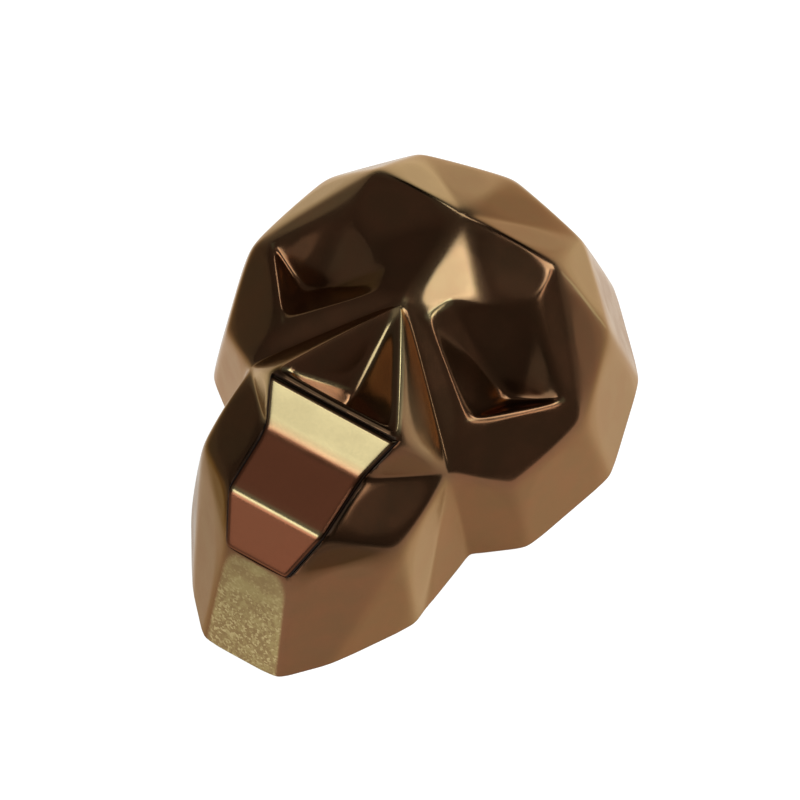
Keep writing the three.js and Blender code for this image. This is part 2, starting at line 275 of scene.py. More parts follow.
@dataclass
class SkullForm:
    """The flat facets of the skull, drawn as the frame has them.

    Args:
        length: Chin to crown, in millimetres.
        socket_depth: Depth of the eye pits below their rims.
        nose_depth: Depth of the nose pit below its rim, where its walls meet.
        nose_rim: Width of the flat rim round the nose pit.
        sill_drop: Height of the pit's lower wall.
        sill_lean: How far that wall leans.
        skirt: How far the walls run on below the base before they are cut level.
        crossing: Facets across the middle, each a name and its corners anticlockwise.
        sides: Facets of the right-hand half, which have a twin on the left.
        feet: Corners of the right-hand half where the walls meet the base, chin to crown.
    """

    length: float = 38.0
    socket_depth: float = 4.2
    nose_depth: float = 2.9
    nose_rim: float = 0.45
    sill_drop: float = 2.55
    sill_lean: float = 0.26
    skirt: float = 2.5
    crossing: tuple[tuple[str, ...], ...] = (
        ("chin", "~chinFoot", "chinFoot", "chinTop", "~chinTop"),
        ("plateLow", "~chinTop", "chinTop", "plateFold", "~plateFold"),
        ("plateMiddle", "~plateFold", "plateFold", "plateBend", "~plateBend"),
        ("plateHigh", "~plateBend", "plateBend", "noseFoot", "~noseFoot"),
        ("noseRimLow", "~noseFoot", "noseFoot", "pitFoot", "~pitFoot"),
        ("noseWall", "~pitFoot", "pitFoot", "noseSill"),
    )
    sides: tuple[tuple[str, ...], ...] = (
        ("jawFront", "chinFoot", "jawFrontFoot", "jawAngle", "chinTop"),
        ("jawSide", "jawFrontFoot", "jawRearFoot", "jawAngle"),
        ("jawRear", "jawRearFoot", "cheekRoot", "jawAngle"),
        ("notchFront", "jawRearFoot", "notchFoot", "cheekRoot"),
        ("cheekWall", "notchFoot", "cheekFoot", "cheekFront", "cheekRoot"),
        ("templeFront", "cheekFoot", "templeFoot", "cheekSide", "cheekFront"),
        ("templeRear", "templeFoot", "crownSideFoot", "temple", "cheekSide"),
        ("crownSide", "crownSideFoot", "crownBackFoot", "crownShoulder", "temple"),
        ("crownEnd", "crownBackFoot", "crownEndFoot", "crownPeak", "crownCorner", "crownShoulder"),
        ("crownTop", "foreheadTop", "crownCorner", "crownPeak"),
        ("crownFlank", "foreheadTop", "foreheadCorner", "crownCorner"),
        ("crownSlope", "foreheadCorner", "temple", "crownShoulder", "crownCorner"),
        ("templeTop", "foreheadCorner", "cheekSide", "temple"),
        ("browSlope", "foreheadCorner", "browOuter", "socketOuter", "cheekSide"),
        ("cheek", "cheekRoot", "cheekFront", "cheekSide", "socketOuter", "socketLow"),
        ("noseSlope", "noseTop", "cheekRoot", "socketLow", "browInner"),
        ("noseFlank", "noseTop", "noseFoot", "cheekRoot"),
        ("lipFlank", "noseFoot", "plateBend", "cheekRoot"),
        ("jawSlope", "plateBend", "plateFold", "jawAngle", "cheekRoot"),
        ("jawNear", "plateFold", "chinTop", "jawAngle"),
        ("foreheadInner", "noseTop", "browInner", "browRise", "browMiddle", "foreheadTop"),
        ("foreheadOuter", "foreheadTop", "browMiddle", "browOuter", "foreheadCorner"),
        ("socketFar", "browOuter", "socketPit", "socketOuter"),
        ("socketUnder", "socketOuter", "socketPit", "socketLow"),
        ("socketNear", "socketLow", "socketPit", "browInner"),
        ("socketBrow", "browInner", "socketPit", "browRise"),
        ("socketRoof", "browRise", "socketPit", "browOuter", "browMiddle"),
        ("noseRim", "noseFoot", "noseTop", "pitTop", "pitFoot"),
        ("noseSide", "pitFoot", "pitTop", "nosePit"),
        ("noseFloor", "pitFoot", "nosePit", "noseSill"),
    )
    feet: tuple[str, ...] = (
        "chinFoot", "jawFrontFoot", "jawRearFoot", "notchFoot", "cheekFoot",
        "templeFoot", "crownSideFoot", "crownBackFoot", "crownEndFoot",
    )

    def at(self, x: float, y: float, z: float) -> Vector:
        """Give a drawn place, measured from the chin's foot, in the frame's axes."""
        return Vector((x, y - self.length / 2, z))

    def level(self, axis: int, place: float) -> tuple[Vector, Vector]:
        """Give the plane at one drawn place along an axis."""
        return across(axis, place - (self.length / 2 if axis == 1 else 0))

    def corners(self) -> Corners:
        """Work out the corners of the right-hand half.

        Returns:
            Corner places by name, in millimetres.
        """
        at, level = self.at, self.level
        k = {
            "chinFoot": at(2.8, 0, 0),
            "jawFrontFoot": at(5.4, 2.8, 0),
            "jawRearFoot": at(8.5, 7.8, 0),
            "notchFoot": at(9.1, 14.1, 0),
            "cheekFoot": at(12.15, 16.5, 0),
            "templeFoot": at(14.25, 23.7, 0),
            "crownSideFoot": at(12.35, 30.8, 0),
            "crownBackFoot": at(7.3, 36.0, 0),
            "crownEndFoot": at(0, 38.0, 0),
            "chinTop": at(2.3, 2.3, 10.8),
            "cheekRoot": at(7.6, 14.0, 11.2),
            "crownPeak": at(0, 35.1, 10.2),
            "foreheadTop": at(0, 28.5, 16.4),
            "foreheadCorner": at(6.8, 29.0, 15.1),
            "browOuter": at(6.95, 25.7, 14.85),
            "noseTop": at(0, 21.05, 16.7),
            "browInner": at(1.8, 21.0, 16.15),
            "noseFoot": at(4.9, 12.3, 16.7),
            "nosePit": at(0, 14.95, 16.7 - self.nose_depth),
            "plateFold": at(3.6, 4.85, 13.9),
        }

        def plane(*names: str) -> tuple[Vector, Vector]:
            return through(*(k[name] for name in names))

        foot = k["noseFoot"]
        outline = Net([k["noseTop"], Vector((-foot.x, foot.y, foot.z)), foot], [], [])
        k["pitTop"], _, k["pitFoot"] = outline.inset([0, 1, 2], self.nose_rim)
        k["noseSill"] = k["pitFoot"] + Vector((0, self.sill_lean, -self.sill_drop))
        k["noseSill"].x = 0
        jaw_front = plane("chinFoot", "jawFrontFoot", "chinTop")
        k["jawAngle"] = meet(jaw_front, level(1, 8.0), level(2, 10.7))
        cheek_wall = plane("notchFoot", "cheekFoot", "cheekRoot")
        k["cheekFront"] = meet(cheek_wall, level(1, 16.4), level(2, 8.5))
        temple_front = plane("cheekFoot", "templeFoot", "cheekFront")
        k["cheekSide"] = meet(temple_front, level(1, 22.6), level(2, 8.7))
        temple_rear = plane("templeFoot", "crownSideFoot", "cheekSide")
        k["temple"] = meet(temple_rear, level(1, 29.0), level(2, 9.2))
        crown_end = plane("crownBackFoot", "crownEndFoot", "crownPeak")
        k["crownCorner"] = meet(crown_end, level(0, 6.0), level(2, 10.4))
        forehead_inner = plane("foreheadTop", "noseTop", "browInner")
        forehead_outer = plane("foreheadTop", "foreheadCorner", "browOuter")
        k["browRise"] = meet(forehead_inner, level(0, 2.45), level(1, 22.7))
        k["browMiddle"] = meet(forehead_inner, forehead_outer, level(1, 24.0))
        crown_side = plane("crownSideFoot", "crownBackFoot", "temple")
        crown_slope = plane("foreheadCorner", "temple", "crownCorner")
        k["crownShoulder"] = meet(crown_side, crown_end, crown_slope)
        cheek = plane("cheekRoot", "cheekFront", "cheekSide")
        nose_slope = plane("noseTop", "cheekRoot", "browInner")
        brow_slope = plane("foreheadCorner", "cheekSide", "browOuter")
        k["socketLow"] = meet(cheek, nose_slope, level(1, 17.2))
        k["socketOuter"] = meet(cheek, brow_slope, level(0, 11.1))
        rim = plane("browInner", "browOuter", "socketLow")
        k["socketPit"] = meet(rim, level(0, 7.6), level(1, 21.1))
        k["socketPit"].z -= self.socket_depth
        jaw_slope = plane("plateFold", "jawAngle", "cheekRoot")
        k["plateBend"] = meet(jaw_slope, level(0, 3.65), level(1, 9.6))
        return k

    def lowered(self, k: Corners) -> Corners:
        """Run the side walls on below the base.

        Args:
            k: Corner places by name.

        Returns:
            The same corners, with each foot slid down to where its two walls meet.
        """
        mirrored = Vector((-k["chinFoot"].x, k["chinFoot"].y, k["chinFoot"].z))
        walls = [through(mirrored, k["chinFoot"], k["chinTop"])]
        for here, after in zip(self.feet, self.feet[1:]):
            facet = next(f for f in self.sides if f[1] == here and f[2] == after)
            walls.append(through(*(k[name] for name in facet[1:4])))
        point, normal = walls[-1]
        walls.append((point * Vector((-1, 1, 1)), normal * Vector((-1, 1, 1))))
        low = dict(k)
        for number, foot in enumerate(self.feet):
            low[foot] = meet(walls[number], walls[number + 1], across(2, -self.skirt))
        low["crownEndFoot"].x = 0
        return low

    def net(self) -> tuple[Net, dict[str, int]]:
        """Join both halves into one closed net.

        Returns:
            The net of flat facets, each with its name, and the corners' numbers by name.
        """
        points: list[Vector] = []
        number: dict[str, int] = {}
        for name, point in self.lowered(self.corners()).items():
            number[name] = len(points)
            points.append(point)
            if abs(point.x) * MM < SAME_PLACE:
                number["~" + name] = number[name]
                continue
            number["~" + name] = len(points)
            points.append(Vector((-point.x, point.y, point.z)))

        facets = self.crossing + self.sides
        faces = [[number[name] for name in facet[1:]] for facet in facets]
        names = [facet[0] for facet in facets]
        for facet in self.sides:
            faces.append([number[twin(name)] for name in reversed(facet[1:])])
            names.append("~" + facet[0])
        base = [twin(name) for name in self.feet[:-1]] + list(reversed(self.feet))
        faces.append([number[name] for name in base])
        names.append("base")
        return Net(points, faces, names), number


# Mesh helpers


def new_object(name: str, mesh: Mesh) -> Object:
    """Make an object of a mesh and link it to the scene."""
    piece = bpy.data.objects.new(name, mesh)
    bpy.context.scene.collection.objects.link(piece)
    return piece


def net_mesh(name: str, net: Net) -> Mesh:
    """Turn a net into a mesh in metres.

    Args:
        name: Name of the mesh.
        net: The net, in millimetres.

    Returns:
        The mesh, with its faces in the net's order.
    """
    mesh = bpy.data.meshes.new(name)
    mesh.from_pydata([tuple(p * MM) for p in net.points], [], net.faces)
    mesh.update()
    return mesh


def add_modifier(piece: Object, kind: str, **values: object) -> None:
    """Add a modifier to a piece and set its values."""
    modifier = piece.modifiers.new(kind.lower(), kind)
    for key, value in values.items():
        setattr(modifier, key, value)


def apply_modifiers(piece: Object) -> None:
    """Replace a piece's mesh by what its modifiers make of it."""
    graph = bpy.context.evaluated_depsgraph_get()
    graph.update()
    made = bpy.data.meshes.new_from_object(piece.evaluated_get(graph), depsgraph=graph)
    old = piece.data
    piece.modifiers.clear()
    piece.data = made
    bpy.data.meshes.remove(old)


def set_point_values(mesh: Mesh, name: str, values: list[float]) -> None:
    """Store one number per point as a named attribute."""
    layer = mesh.attributes.get(name) or mesh.attributes.new(name, "FLOAT", "POINT")
    layer.data.foreach_set("value", values)


def ease(low: float, high: float, value: float) -> float:
    """Rise smoothly from 0 at low to 1 at high."""
    t = min(max((value - low) / (high - low), 0.0), 1.0)
    return t * t * (3 - 2 * t)


# Node trees that shape the surface


class TreeBuilder:
    """Builds a node tree by short calls.

    Args:
        tree: The tree that takes the nodes.
    """

    def __init__(self, tree: NodeTree) -> None:
        """Keep the tree."""
        self.tree = tree

    def node(self, kind: str, inputs: dict | None = None, **settings: object) -> Node:
        """Add a node.

        Args:
            kind: The node's class name.
            inputs: Values or output sockets by input name or number.
            settings: The node's own properties.

        Returns:
            The node.
        """
        made = self.tree.nodes.new(kind)
        for key, value in settings.items():
            setattr(made, key, value)
        for key, value in (inputs or {}).items():
            self.put(made.inputs[key], value)
        return made

    def put(self, socket: NodeSocket, value: object) -> None:
        """Link an output to a socket, or set the socket's value."""
        if isinstance(value, NodeSocket):
            self.tree.links.new(value, socket)
        else:
            socket.default_value = value

    def math(self, operation: str, *values: object, clamp: bool = False) -> NodeSocket:
        """Add a Math node and give its result."""
        inputs = dict(enumerate(values))
        kind = "ShaderNodeMath"
        return self.node(kind, inputs, operation=operation, use_clamp=clamp).outputs[0]

    def vector_math(self, operation: str, *values: object) -> NodeSocket:
        """Add a Vector Math node and give its first result."""
        return self.node("ShaderNodeVectorMath", dict(enumerate(values)), operation=operation).outputs[0]

    def scaled(self, vector: NodeSocket, scale: NodeSocket) -> NodeSocket:
        """Scale a vector and give the result."""
        inputs = {0: vector, "Scale": scale}
        return self.node("ShaderNodeVectorMath", inputs, operation="SCALE").outputs[0]

    def ramp(self, value: object, *ends: float) -> NodeSocket:
        """Map a range smoothly to another and give the result.

        Args:
            value: The number or socket to map.
            ends: Its lowest and highest value, then what they become, 0 and 1 if not given.

        Returns:
            The mapped value.
        """
        low, high, to_low, to_high = ends if len(ends) == 4 else (*ends, 0.0, 1.0)
        inputs = {0: value, 1: low, 2: high, 3: to_low, 4: to_high}
        kind = "ShaderNodeMapRange"
        return self.node(kind, inputs, interpolation_type="SMOOTHSTEP").outputs[0]


def shaping_tree(name: str, inputs: dict[str, float | int]) -> TreeBuilder:
    """Start a tree that takes and gives a shape.

    Args:
        name: Name of the tree.
        inputs: Names of its other inputs with their first values.

    Returns:
        A builder on the tree.
    """
    tree = bpy.data.node_groups.new(name, "GeometryNodeTree")
    tree.interface.new_socket("Geometry", in_out="INPUT", socket_type="NodeSocketGeometry")
    for key, value in inputs.items():
        kind = "NodeSocketInt" if isinstance(value, int) else "NodeSocketFloat"
        tree.interface.new_socket(key, in_out="INPUT", socket_type=kind).default_value = value
    tree.interface.new_socket("Geometry", in_out="OUTPUT", socket_type="NodeSocketGeometry")
    return TreeBuilder(tree)


def dress_and_end(build: TreeBuilder, shape: NodeSocket, material: Material) -> None:
    """End a shaping tree: make its shape real and set its finish."""
    real = build.node("GeometryNodeRealizeInstances", {"Geometry": shape}).outputs[0]
    dressed = build.node("GeometryNodeSetMaterial", {"Geometry": real, "Material": material})
    build.node("NodeGroupOutput", {"Geometry": dressed.outputs[0]})


def uneven_surface_tree(material: Material) -> NodeTree:
    """Build the tree that gives a moulded surface its slight unevenness.

    Args:
        material: The finish that the tree sets.

    Returns:
        The tree, with named inputs for the heights and sizes of the waves.
    """
    build = shaping_tree("uneven_surface", {"Wave Height": 0.0, "Wave Size": 0.004, "Seed": 7.0})
    given = build.node("NodeGroupInput").outputs
    place = build.node("GeometryNodeInputPosition").outputs[0]
    scale = build.math("DIVIDE", 1.0, given["Wave Size"])
    noise = build.node(
        "ShaderNodeTexNoise",
        {"Vector": place, "W": given["Seed"], "Scale": scale, "Detail": 1.0, "Roughness": 0.4},
        noise_dimensions="4D",
    )
    swing = build.math("SUBTRACT", noise.outputs[0], 0.5)
    height = build.math("MULTIPLY", swing, given["Wave Height"])
    normal = build.node("GeometryNodeInputNormal").outputs[0]
    moved = {"Geometry": given["Geometry"], "Offset": build.scaled(normal, height)}
    dress_and_end(build, build.node("GeometryNodeSetPosition", moved).outputs[0], material)
    return build.tree


def bead_tree(material: Material) -> NodeTree:
    """Build the tree that strings beads along edges and melts them together.

    Args:
        material: The finish that the tree sets.

    Returns:
        The tree, with named inputs for spacing, scatter and fineness.
    """
    inputs = {"Spacing": 0.1, "Jitter": 0.03, "Voxel": 0.03, "Scale": 1.0, "Seed": 1}
    build = shaping_tree("bead_rows", inputs)
    given = build.node("NodeGroupInput").outputs
    seed = given["Seed"]
    curve = build.node("GeometryNodeMeshToCurve", {"Mesh": given["Geometry"]}).outputs[0]
    inputs = {"Curve": curve, "Length": given["Spacing"]}
    even = build.node("GeometryNodeResampleCurve", inputs, mode="LENGTH").outputs[0]
    strung = build.node("GeometryNodeCurveToPoints", {"Curve": even}, mode="EVALUATED").outputs[0]
    inputs = {"Min": (-1.0, -1.0, -1.0), "Max": (1.0, 1.0, 1.0), "Seed": seed}
    scatter = build.node("FunctionNodeRandomValue", inputs, data_type="FLOAT_VECTOR").outputs[0]
    inputs = {"Geometry": strung, "Offset": build.scaled(scatter, given["Jitter"])}
    moved = build.node("GeometryNodeSetPosition", inputs).outputs[0]
    inputs = {2: SMALLEST_BEAD, 3: LARGEST_BEAD, "Seed": seed}
    chance = build.node("FunctionNodeRandomValue", inputs, data_type="FLOAT").outputs[1]
    size = build.node("GeometryNodeInputNamedAttribute", {"Name": BEAD_SIZE}, data_type="FLOAT")
    radius = build.math("MULTIPLY", size.outputs[0], chance)
    inputs = {"Points": moved, "Voxel Size": given["Voxel"], "Radius": radius}
    cloud = build.node("GeometryNodePointsToVolume", inputs, resolution_mode="VOXEL_SIZE").outputs[0]
    melted = build.node("GeometryNodeVolumeToMesh", {"Volume": cloud, "Threshold": MELT_LEVEL})
    scale = build.node("ShaderNodeCombineXYZ", {axis: given["Scale"] for axis in range(3)})
    inputs = {"Geometry": melted.outputs[0], "Scale": scale.outputs[0]}
    dress_and_end(build, build.node("GeometryNodeTransform", inputs).outputs[0], material)
    return build.tree


def run_tree(piece: Object, tree: NodeTree, values: dict[str, object]) -> None:
    """Run a geometry tree on a piece and keep the result as its mesh.

    Args:
        piece: The piece.
        tree: The geometry tree.
        values: Values by the names of the tree's inputs.
    """
    modifier = piece.modifiers.new(tree.name, "NODES")
    modifier.node_group = tree
    for item in tree.interface.items_tree:
        if item.item_type == "SOCKET" and item.in_out == "INPUT" and item.name in values:
            modifier[item.identifier] = values[item.name]
    apply_modifiers(piece)


# Shader groups


def group_of(name: str, inputs: dict[str, float], outputs: tuple[str, ...]) -> TreeBuilder:
    """Start a shader group with number sockets.

    Args:
        name: Name of the group.
        inputs: Input names with their first values.
        outputs: Output names.

    Returns:
        A builder on the group's tree.
    """
    tree = bpy.data.node_groups.new(name, "ShaderNodeTree")
    for key, value in inputs.items():
        socket = tree.interface.new_socket(key, in_out="INPUT", socket_type="NodeSocketFloat")
        socket.default_value = value
    for key in outputs:
        tree.interface.new_socket(key, in_out="OUTPUT", socket_type="NodeSocketFloat")
    return TreeBuilder(tree)


def grain_group() -> NodeTree:
    """Build the fine grain that every surface of the piece shows.

    Returns:
        The group: grains and clumps per metre in, a mask of each out.
    """
    inputs = {"Grains per Metre": 6000.0, "Clumps per Metre": 900.0}
    build = group_of("fine_grain", inputs, ("Grain", "Clump"))
    given = build.node("NodeGroupInput").outputs
    place = build.node("ShaderNodeTexCoord").outputs["Object"]
    inputs = {"Vector": place, "Scale": given["Grains per Metre"], "Detail": 2.0, "Roughness": 0.6}
    grain = build.ramp(build.node("ShaderNodeTexNoise", inputs).outputs[0], *GRAIN_CONTRAST)
    inputs = {"Vector": place, "Scale": given["Clumps per Metre"], "Detail": 3.0, "Roughness": 0.55}
    clump = build.ramp(build.node("ShaderNodeTexNoise", inputs).outputs[0], *CLUMP_CONTRAST)
    build.node("NodeGroupOutput", {"Grain": grain, "Clump": clump})
    return build.tree


def speckle_group() -> NodeTree:
    """Build separate flecks, such as powder grains or fine bubbles.

    Returns:
        The group: flecks per metre and their share in, a mask of flecks and a tone for each out.
    """
    build = group_of("flecks", {"Flecks per Metre": 5000.0, "Share": 0.3}, ("Fleck", "Tone"))
    given = build.node("NodeGroupInput").outputs
    even = build.node("ShaderNodeTexCoord").outputs["Object"]
    even = build.vector_math("MULTIPLY", even, FLECK_STRETCH)
    finer = build.math("MULTIPLY", given["Flecks per Metre"], 1.6)
    inputs = {"Vector": even, "Scale": finer, "Detail": 1.0}
    swirl = build.node("ShaderNodeTexNoise", inputs).outputs[1]
    centred = build.vector_math("SUBTRACT", swirl, (0.5, 0.5, 0.5))
    reach = build.math("DIVIDE", FLECK_SWIRL, given["Flecks per Metre"])
    swirled = build.vector_math("ADD", even, build.scaled(centred, reach))
    inputs = {"Vector": swirled, "Scale": given["Flecks per Metre"]}
    cells = build.node("ShaderNodeTexVoronoi", inputs)
    tone = build.node("ShaderNodeSeparateColor", {"Color": cells.outputs["Color"]}).outputs[0]
    chosen = build.math("LESS_THAN", tone, given["Share"])
    near = build.ramp(cells.outputs["Distance"], *FLECK_EDGE, 1.0, 0.0)
    build.node("NodeGroupOutput", {"Fleck": build.math("MULTIPLY", chosen, near), "Tone": tone})
    return build.tree


# Finishes


@dataclass(frozen=True)
class LustreFinish:
    """Dark chocolate rubbed with a bronze lustre, glossy from the mould.

    Args:
        bronze: Colour of full lustre, linear.
        copper: Colour of the redder lustre on the mouth plate.
        pale_highlight: Colour of the painted highlight, pale gold put where highlights fall on the
            lustre.
        dark: Colour where the lustre is thin and the chocolate shows through, also used as painted
            shade.
        gold: Colour of loose powder.
        glint: Colour of its brightest flecks.
        edge_tint: Colour of the lustre seen along the surface.
        thin_shaded_edge_tint: The same where the lustre is thin and where painted shade darkens it.
        gloss: Roughness of the polished lustre.
        mottle: How much redder the clumps of its grain are.
        powder_edge: Range of the powder's mask over which it sets in.
        coarse_heights: From the first height the chin's flecks fade, to the second, in metres.
        coarse_left: How much of them is left above that.
        glint_tones: Range of the flecks' tone, from the middle, over which they start to glint.
        glint_share: How far the brightest flecks turn to their glint.
        fine_tones: Darkest and lightest share of the colour that the fine grain leaves.
        gloss_range: How much the clumps of the grain lower and raise the roughness.
        powder_rough: How much loose powder adds to it.
        ridge_rough: How much a rubbed ridge adds to it.
        heap_height: Height of a fleck of powder, where the fine grain's is 1.
        metal: How metallic the lustre is.
        coat: Strength and roughness of the clear gloss over it.
    """

    bronze: Colour = (0.158, 0.073, 0.034)
    copper: Colour = (0.24, 0.078, 0.037)
    pale_highlight: Colour = (0.33, 0.225, 0.11)
    dark: Colour = (0.013, 0.0065, 0.0025)
    gold: Colour = (0.36, 0.268, 0.115)
    glint: Colour = (0.72, 0.58, 0.31)
    edge_tint: Colour = (1.0, 0.79, 0.57)
    thin_shaded_edge_tint: Colour = (0.35, 0.24, 0.14)
    gloss: float = 0.235
    mottle: float = 0.3
    powder_edge: tuple[float, float] = (0.45, 0.85)
    coarse_heights: tuple[float, float] = (0.0045, 0.0095)
    coarse_left: float = 0.25
    glint_tones: tuple[float, float] = (0.15, 0.5)
    glint_share: float = 0.4
    fine_tones: tuple[float, float] = (0.97, 1.03)
    gloss_range: tuple[float, float] = (-0.015, 0.025)
    powder_rough: float = 0.25
    ridge_rough: float = -0.05
    heap_height: float = 6.0
    metal: float = 0.94
    coat: tuple[float, float] = (0.05, 0.2)

    def material(self, groups: "Groups") -> Material:
        """Build the material.

        Args:
            groups: The shader groups it shares with the other finishes.

        Returns:
            The material.
        """
        made, build = blank_material("bronze_lustre")
        grain, clump = groups.grains(build, fine=7000.0, coarse=420.0)
        fleck, tone = groups.specks(build, number=6500.0, share=0.55)
        powder = build.ramp(attribute(build, Mask.POWDER), *self.powder_edge)
        thin_and_shade = attribute(build, Mask.THIN)
        ridge = attribute(build, Mask.RIDGE)
        copper = attribute(build, Mask.COPPER)

        # Colour, from the bronze up to the glinting flecks
        mottled = build.math("MULTIPLY_ADD", clump, self.mottle, copper, clamp=True)
        colour = mix_colour(build, mottled, self.bronze, self.copper)
        # Painted highlight: pale gold where highlights fall
        colour = mix_colour(build, attribute(build, Mask.GOLD_HIGHLIGHT), colour, self.pale_highlight)
        # Thin lustre and painted shade: darker towards the bare chocolate
        colour = mix_colour(build, thin_and_shade, colour, self.dark)
        fine = build.ramp(grain, 0.0, 1.0, *self.fine_tones)
        colour = mix_colour(build, 1.0, colour, fine, blend="MULTIPLY")
        place = build.node("ShaderNodeTexCoord").outputs["Object"]
        up = build.node("ShaderNodeSeparateXYZ", {0: place}).outputs[2]
        coarse = build.ramp(up, *self.coarse_heights, 1.0, self.coarse_left)
        swing = build.math("SUBTRACT", tone, 0.5)
        heaped = build.math("MULTIPLY_ADD", swing, coarse, clump)
        loose = build.math("MULTIPLY", powder, build.ramp(heaped, 0.0, 1.0, 0.5, 1.0))
        colour = mix_colour(build, loose, colour, self.gold)
        glinting = build.ramp(swing, *self.glint_tones, 0.0, self.glint_share)
        bright = build.math("MULTIPLY", powder, glinting)
        colour = mix_colour(build, build.math("MULTIPLY", bright, coarse), colour, self.glint)

        # Roughness, higher in loose powder and lower on rubbed ridges
        rough = build.ramp(clump, 0.0, 1.0, *(self.gloss + part for part in self.gloss_range))
        rough = build.math("MULTIPLY_ADD", powder, self.powder_rough, rough)
        rough = build.math("MULTIPLY_ADD", ridge, self.ridge_rough, rough)
        heaps = build.math("MULTIPLY", fleck, powder)
        height = build.math("MULTIPLY_ADD", heaps, self.heap_height, grain)
        inputs = {
            "Base Color": colour,
            "Metallic": self.metal,
            "Roughness": rough,
            # painted shade also dims the tint of the reflections
            "Specular Tint": mix_colour(build, thin_and_shade, self.edge_tint, self.thin_shaded_edge_tint),
            "Coat Weight": self.coat[0],
            "Coat Roughness": self.coat[1],
        }
        principled(build, inputs, height, strength=0.008, relief=0.00001)
        return made


@dataclass(frozen=True)
class ChocolateFinish:
    """Bare chocolate or ganache, with small bubbles.

    Args:
        name: Name of the material.
        dark: Darker tone, linear.
        light: Lighter tone, linear.
        gloss: Roughness.
        relief: Height of its small unevenness, in metres.
        shine: Tint of its reflections.
        gloss_range: How much the fine grain lowers and raises the roughness.
        bubble_tone: How far a bubble turns to the lighter tone.
        bubble_height: Height of a bubble, below 0 for a pit, where a clump's is 1.
    """

    name: str
    dark: Colour
    light: tuple[float, float, float]
    gloss: float
    relief: float
    shine: Colour = (0.8, 0.55, 0.4)
    gloss_range: tuple[float, float] = (-0.06, 0.08)
    bubble_tone: float = 0.5
    bubble_height: float = -1.5

    def material(self, groups: "Groups") -> Material:
        """Build the material.

        Args:
            groups: The shader groups it shares with the other finishes.

        Returns:
            The material.
        """
        made, build = blank_material(self.name)
        grain, clump = groups.grains(build, fine=3500.0, coarse=260.0)
        bubble, _ = groups.specks(build, number=900.0, share=0.12)
        colour = mix_colour(build, clump, self.dark, self.light)
        paler = build.math("MULTIPLY", bubble, self.bubble_tone)
        colour = mix_colour(build, paler, colour, self.light)
        rough = build.ramp(grain, 0.0, 1.0, *(self.gloss + part for part in self.gloss_range))
        height = build.math("MULTIPLY_ADD", bubble, self.bubble_height, clump)
        tint = (*self.shine, 1.0)
        inputs = {"Base Color": colour, "Roughness": rough, "Specular Tint": tint}
        principled(build, inputs, height, strength=0.6, relief=self.relief)
        return made


@dataclass(frozen=True)
class Groups:
    """The shader groups, built once.

    Args:
        grain: Fine grain and clumps.
        flecks: Separate flecks.
    """

    grain: NodeTree = field(default_factory=grain_group)
    flecks: NodeTree = field(default_factory=speckle_group)

    def grains(self, build: TreeBuilder, fine: float, coarse: float) -> tuple[NodeSocket, ...]:
        """Place the grain in a material.

        Args:
            build: The material's builder.
            fine: Grains per metre.
            coarse: Clumps per metre.

        Returns:
            The masks of grains and of clumps.
        """
        inputs = {"Grains per Metre": fine, "Clumps per Metre": coarse}
        placed = build.node("ShaderNodeGroup", node_tree=self.grain, inputs=inputs)
        return placed.outputs["Grain"], placed.outputs["Clump"]

    def specks(self, build: TreeBuilder, number: float, share: float) -> tuple[NodeSocket, ...]:
        """Place the flecks in a material.

        Args:
            build: The material's builder.
            number: Flecks per metre.
            share: Share of them that shows.

        Returns:
            The flecks' mask and the tone of each.
        """
        inputs = {"Flecks per Metre": number, "Share": share}
        placed = build.node("ShaderNodeGroup", node_tree=self.flecks, inputs=inputs)
        return placed.outputs["Fleck"], placed.outputs["Tone"]


def blank_material(name: str) -> tuple[Material, TreeBuilder]:
    """Start a material with an empty tree."""
    made = bpy.data.materials.new(name)
    made.use_nodes = True
    made.node_tree.nodes.clear()
    return made, TreeBuilder(made.node_tree)


def principled(
    build: TreeBuilder, inputs: dict[str, object], height: NodeSocket, strength: float, relief: float
) -> None:
    """End a material with a bump, a Principled BSDF and its output.

    Args:
        build: The material's builder.
        inputs: The shader's other inputs.
        height: Height of the bump.
        strength: How strongly it shows.
        relief: Height in metres that a height of 1 stands for.
    """
    bump = {"Height": height, "Strength": strength, "Distance": relief}
    inputs["Normal"] = build.node("ShaderNodeBump", bump).outputs[0]
    shader = build.node("ShaderNodeBsdfPrincipled", inputs)
    build.node("ShaderNodeOutputMaterial", {"Surface": shader.outputs[0]})


def attribute(build: TreeBuilder, mask: Mask) -> NodeSocket:
    """Read one of the surface's masks."""
    return build.node("ShaderNodeAttribute", attribute_name=mask.value).outputs["Fac"]


def mix_colour(
    build: TreeBuilder, share: object, first: object, second: object, blend: str = "MIX"
) -> NodeSocket:
    """Mix two colours.

    Args:
        build: The material's builder.
        share: How much of the second shows, a number or a socket.
        first: First colour, a triple or a socket.
        second: Second colour, a triple or a socket.
        blend: The Mix node's blend type.

    Returns:
        The mixed colour.
    """
    mixed = build.node("ShaderNodeMix", data_type="RGBA", blend_type=blend, clamp_factor=True)
    for number, value in ((0, share), (6, first), (7, second)):
        build.put(mixed.inputs[number], (*value, 1.0) if isinstance(value, tuple) else value)
    return mixed.outputs[2]


# The shell and its mouth plate


def off_line(place: Vector, start: Vector, end: Vector) -> float:
    """Give how far a place lies from the straight way between two points."""
    way = end - start
    share = min(max((place - start).dot(way) / way.length_squared, 0.0), 1.0)
    return (place - start - way * share).length


def slide(start: Vector, end: Vector, distance: float) -> Vector:
    """Give the point a distance along the way from one point to another."""
    return start.lerp(end, distance / (end - start).length)


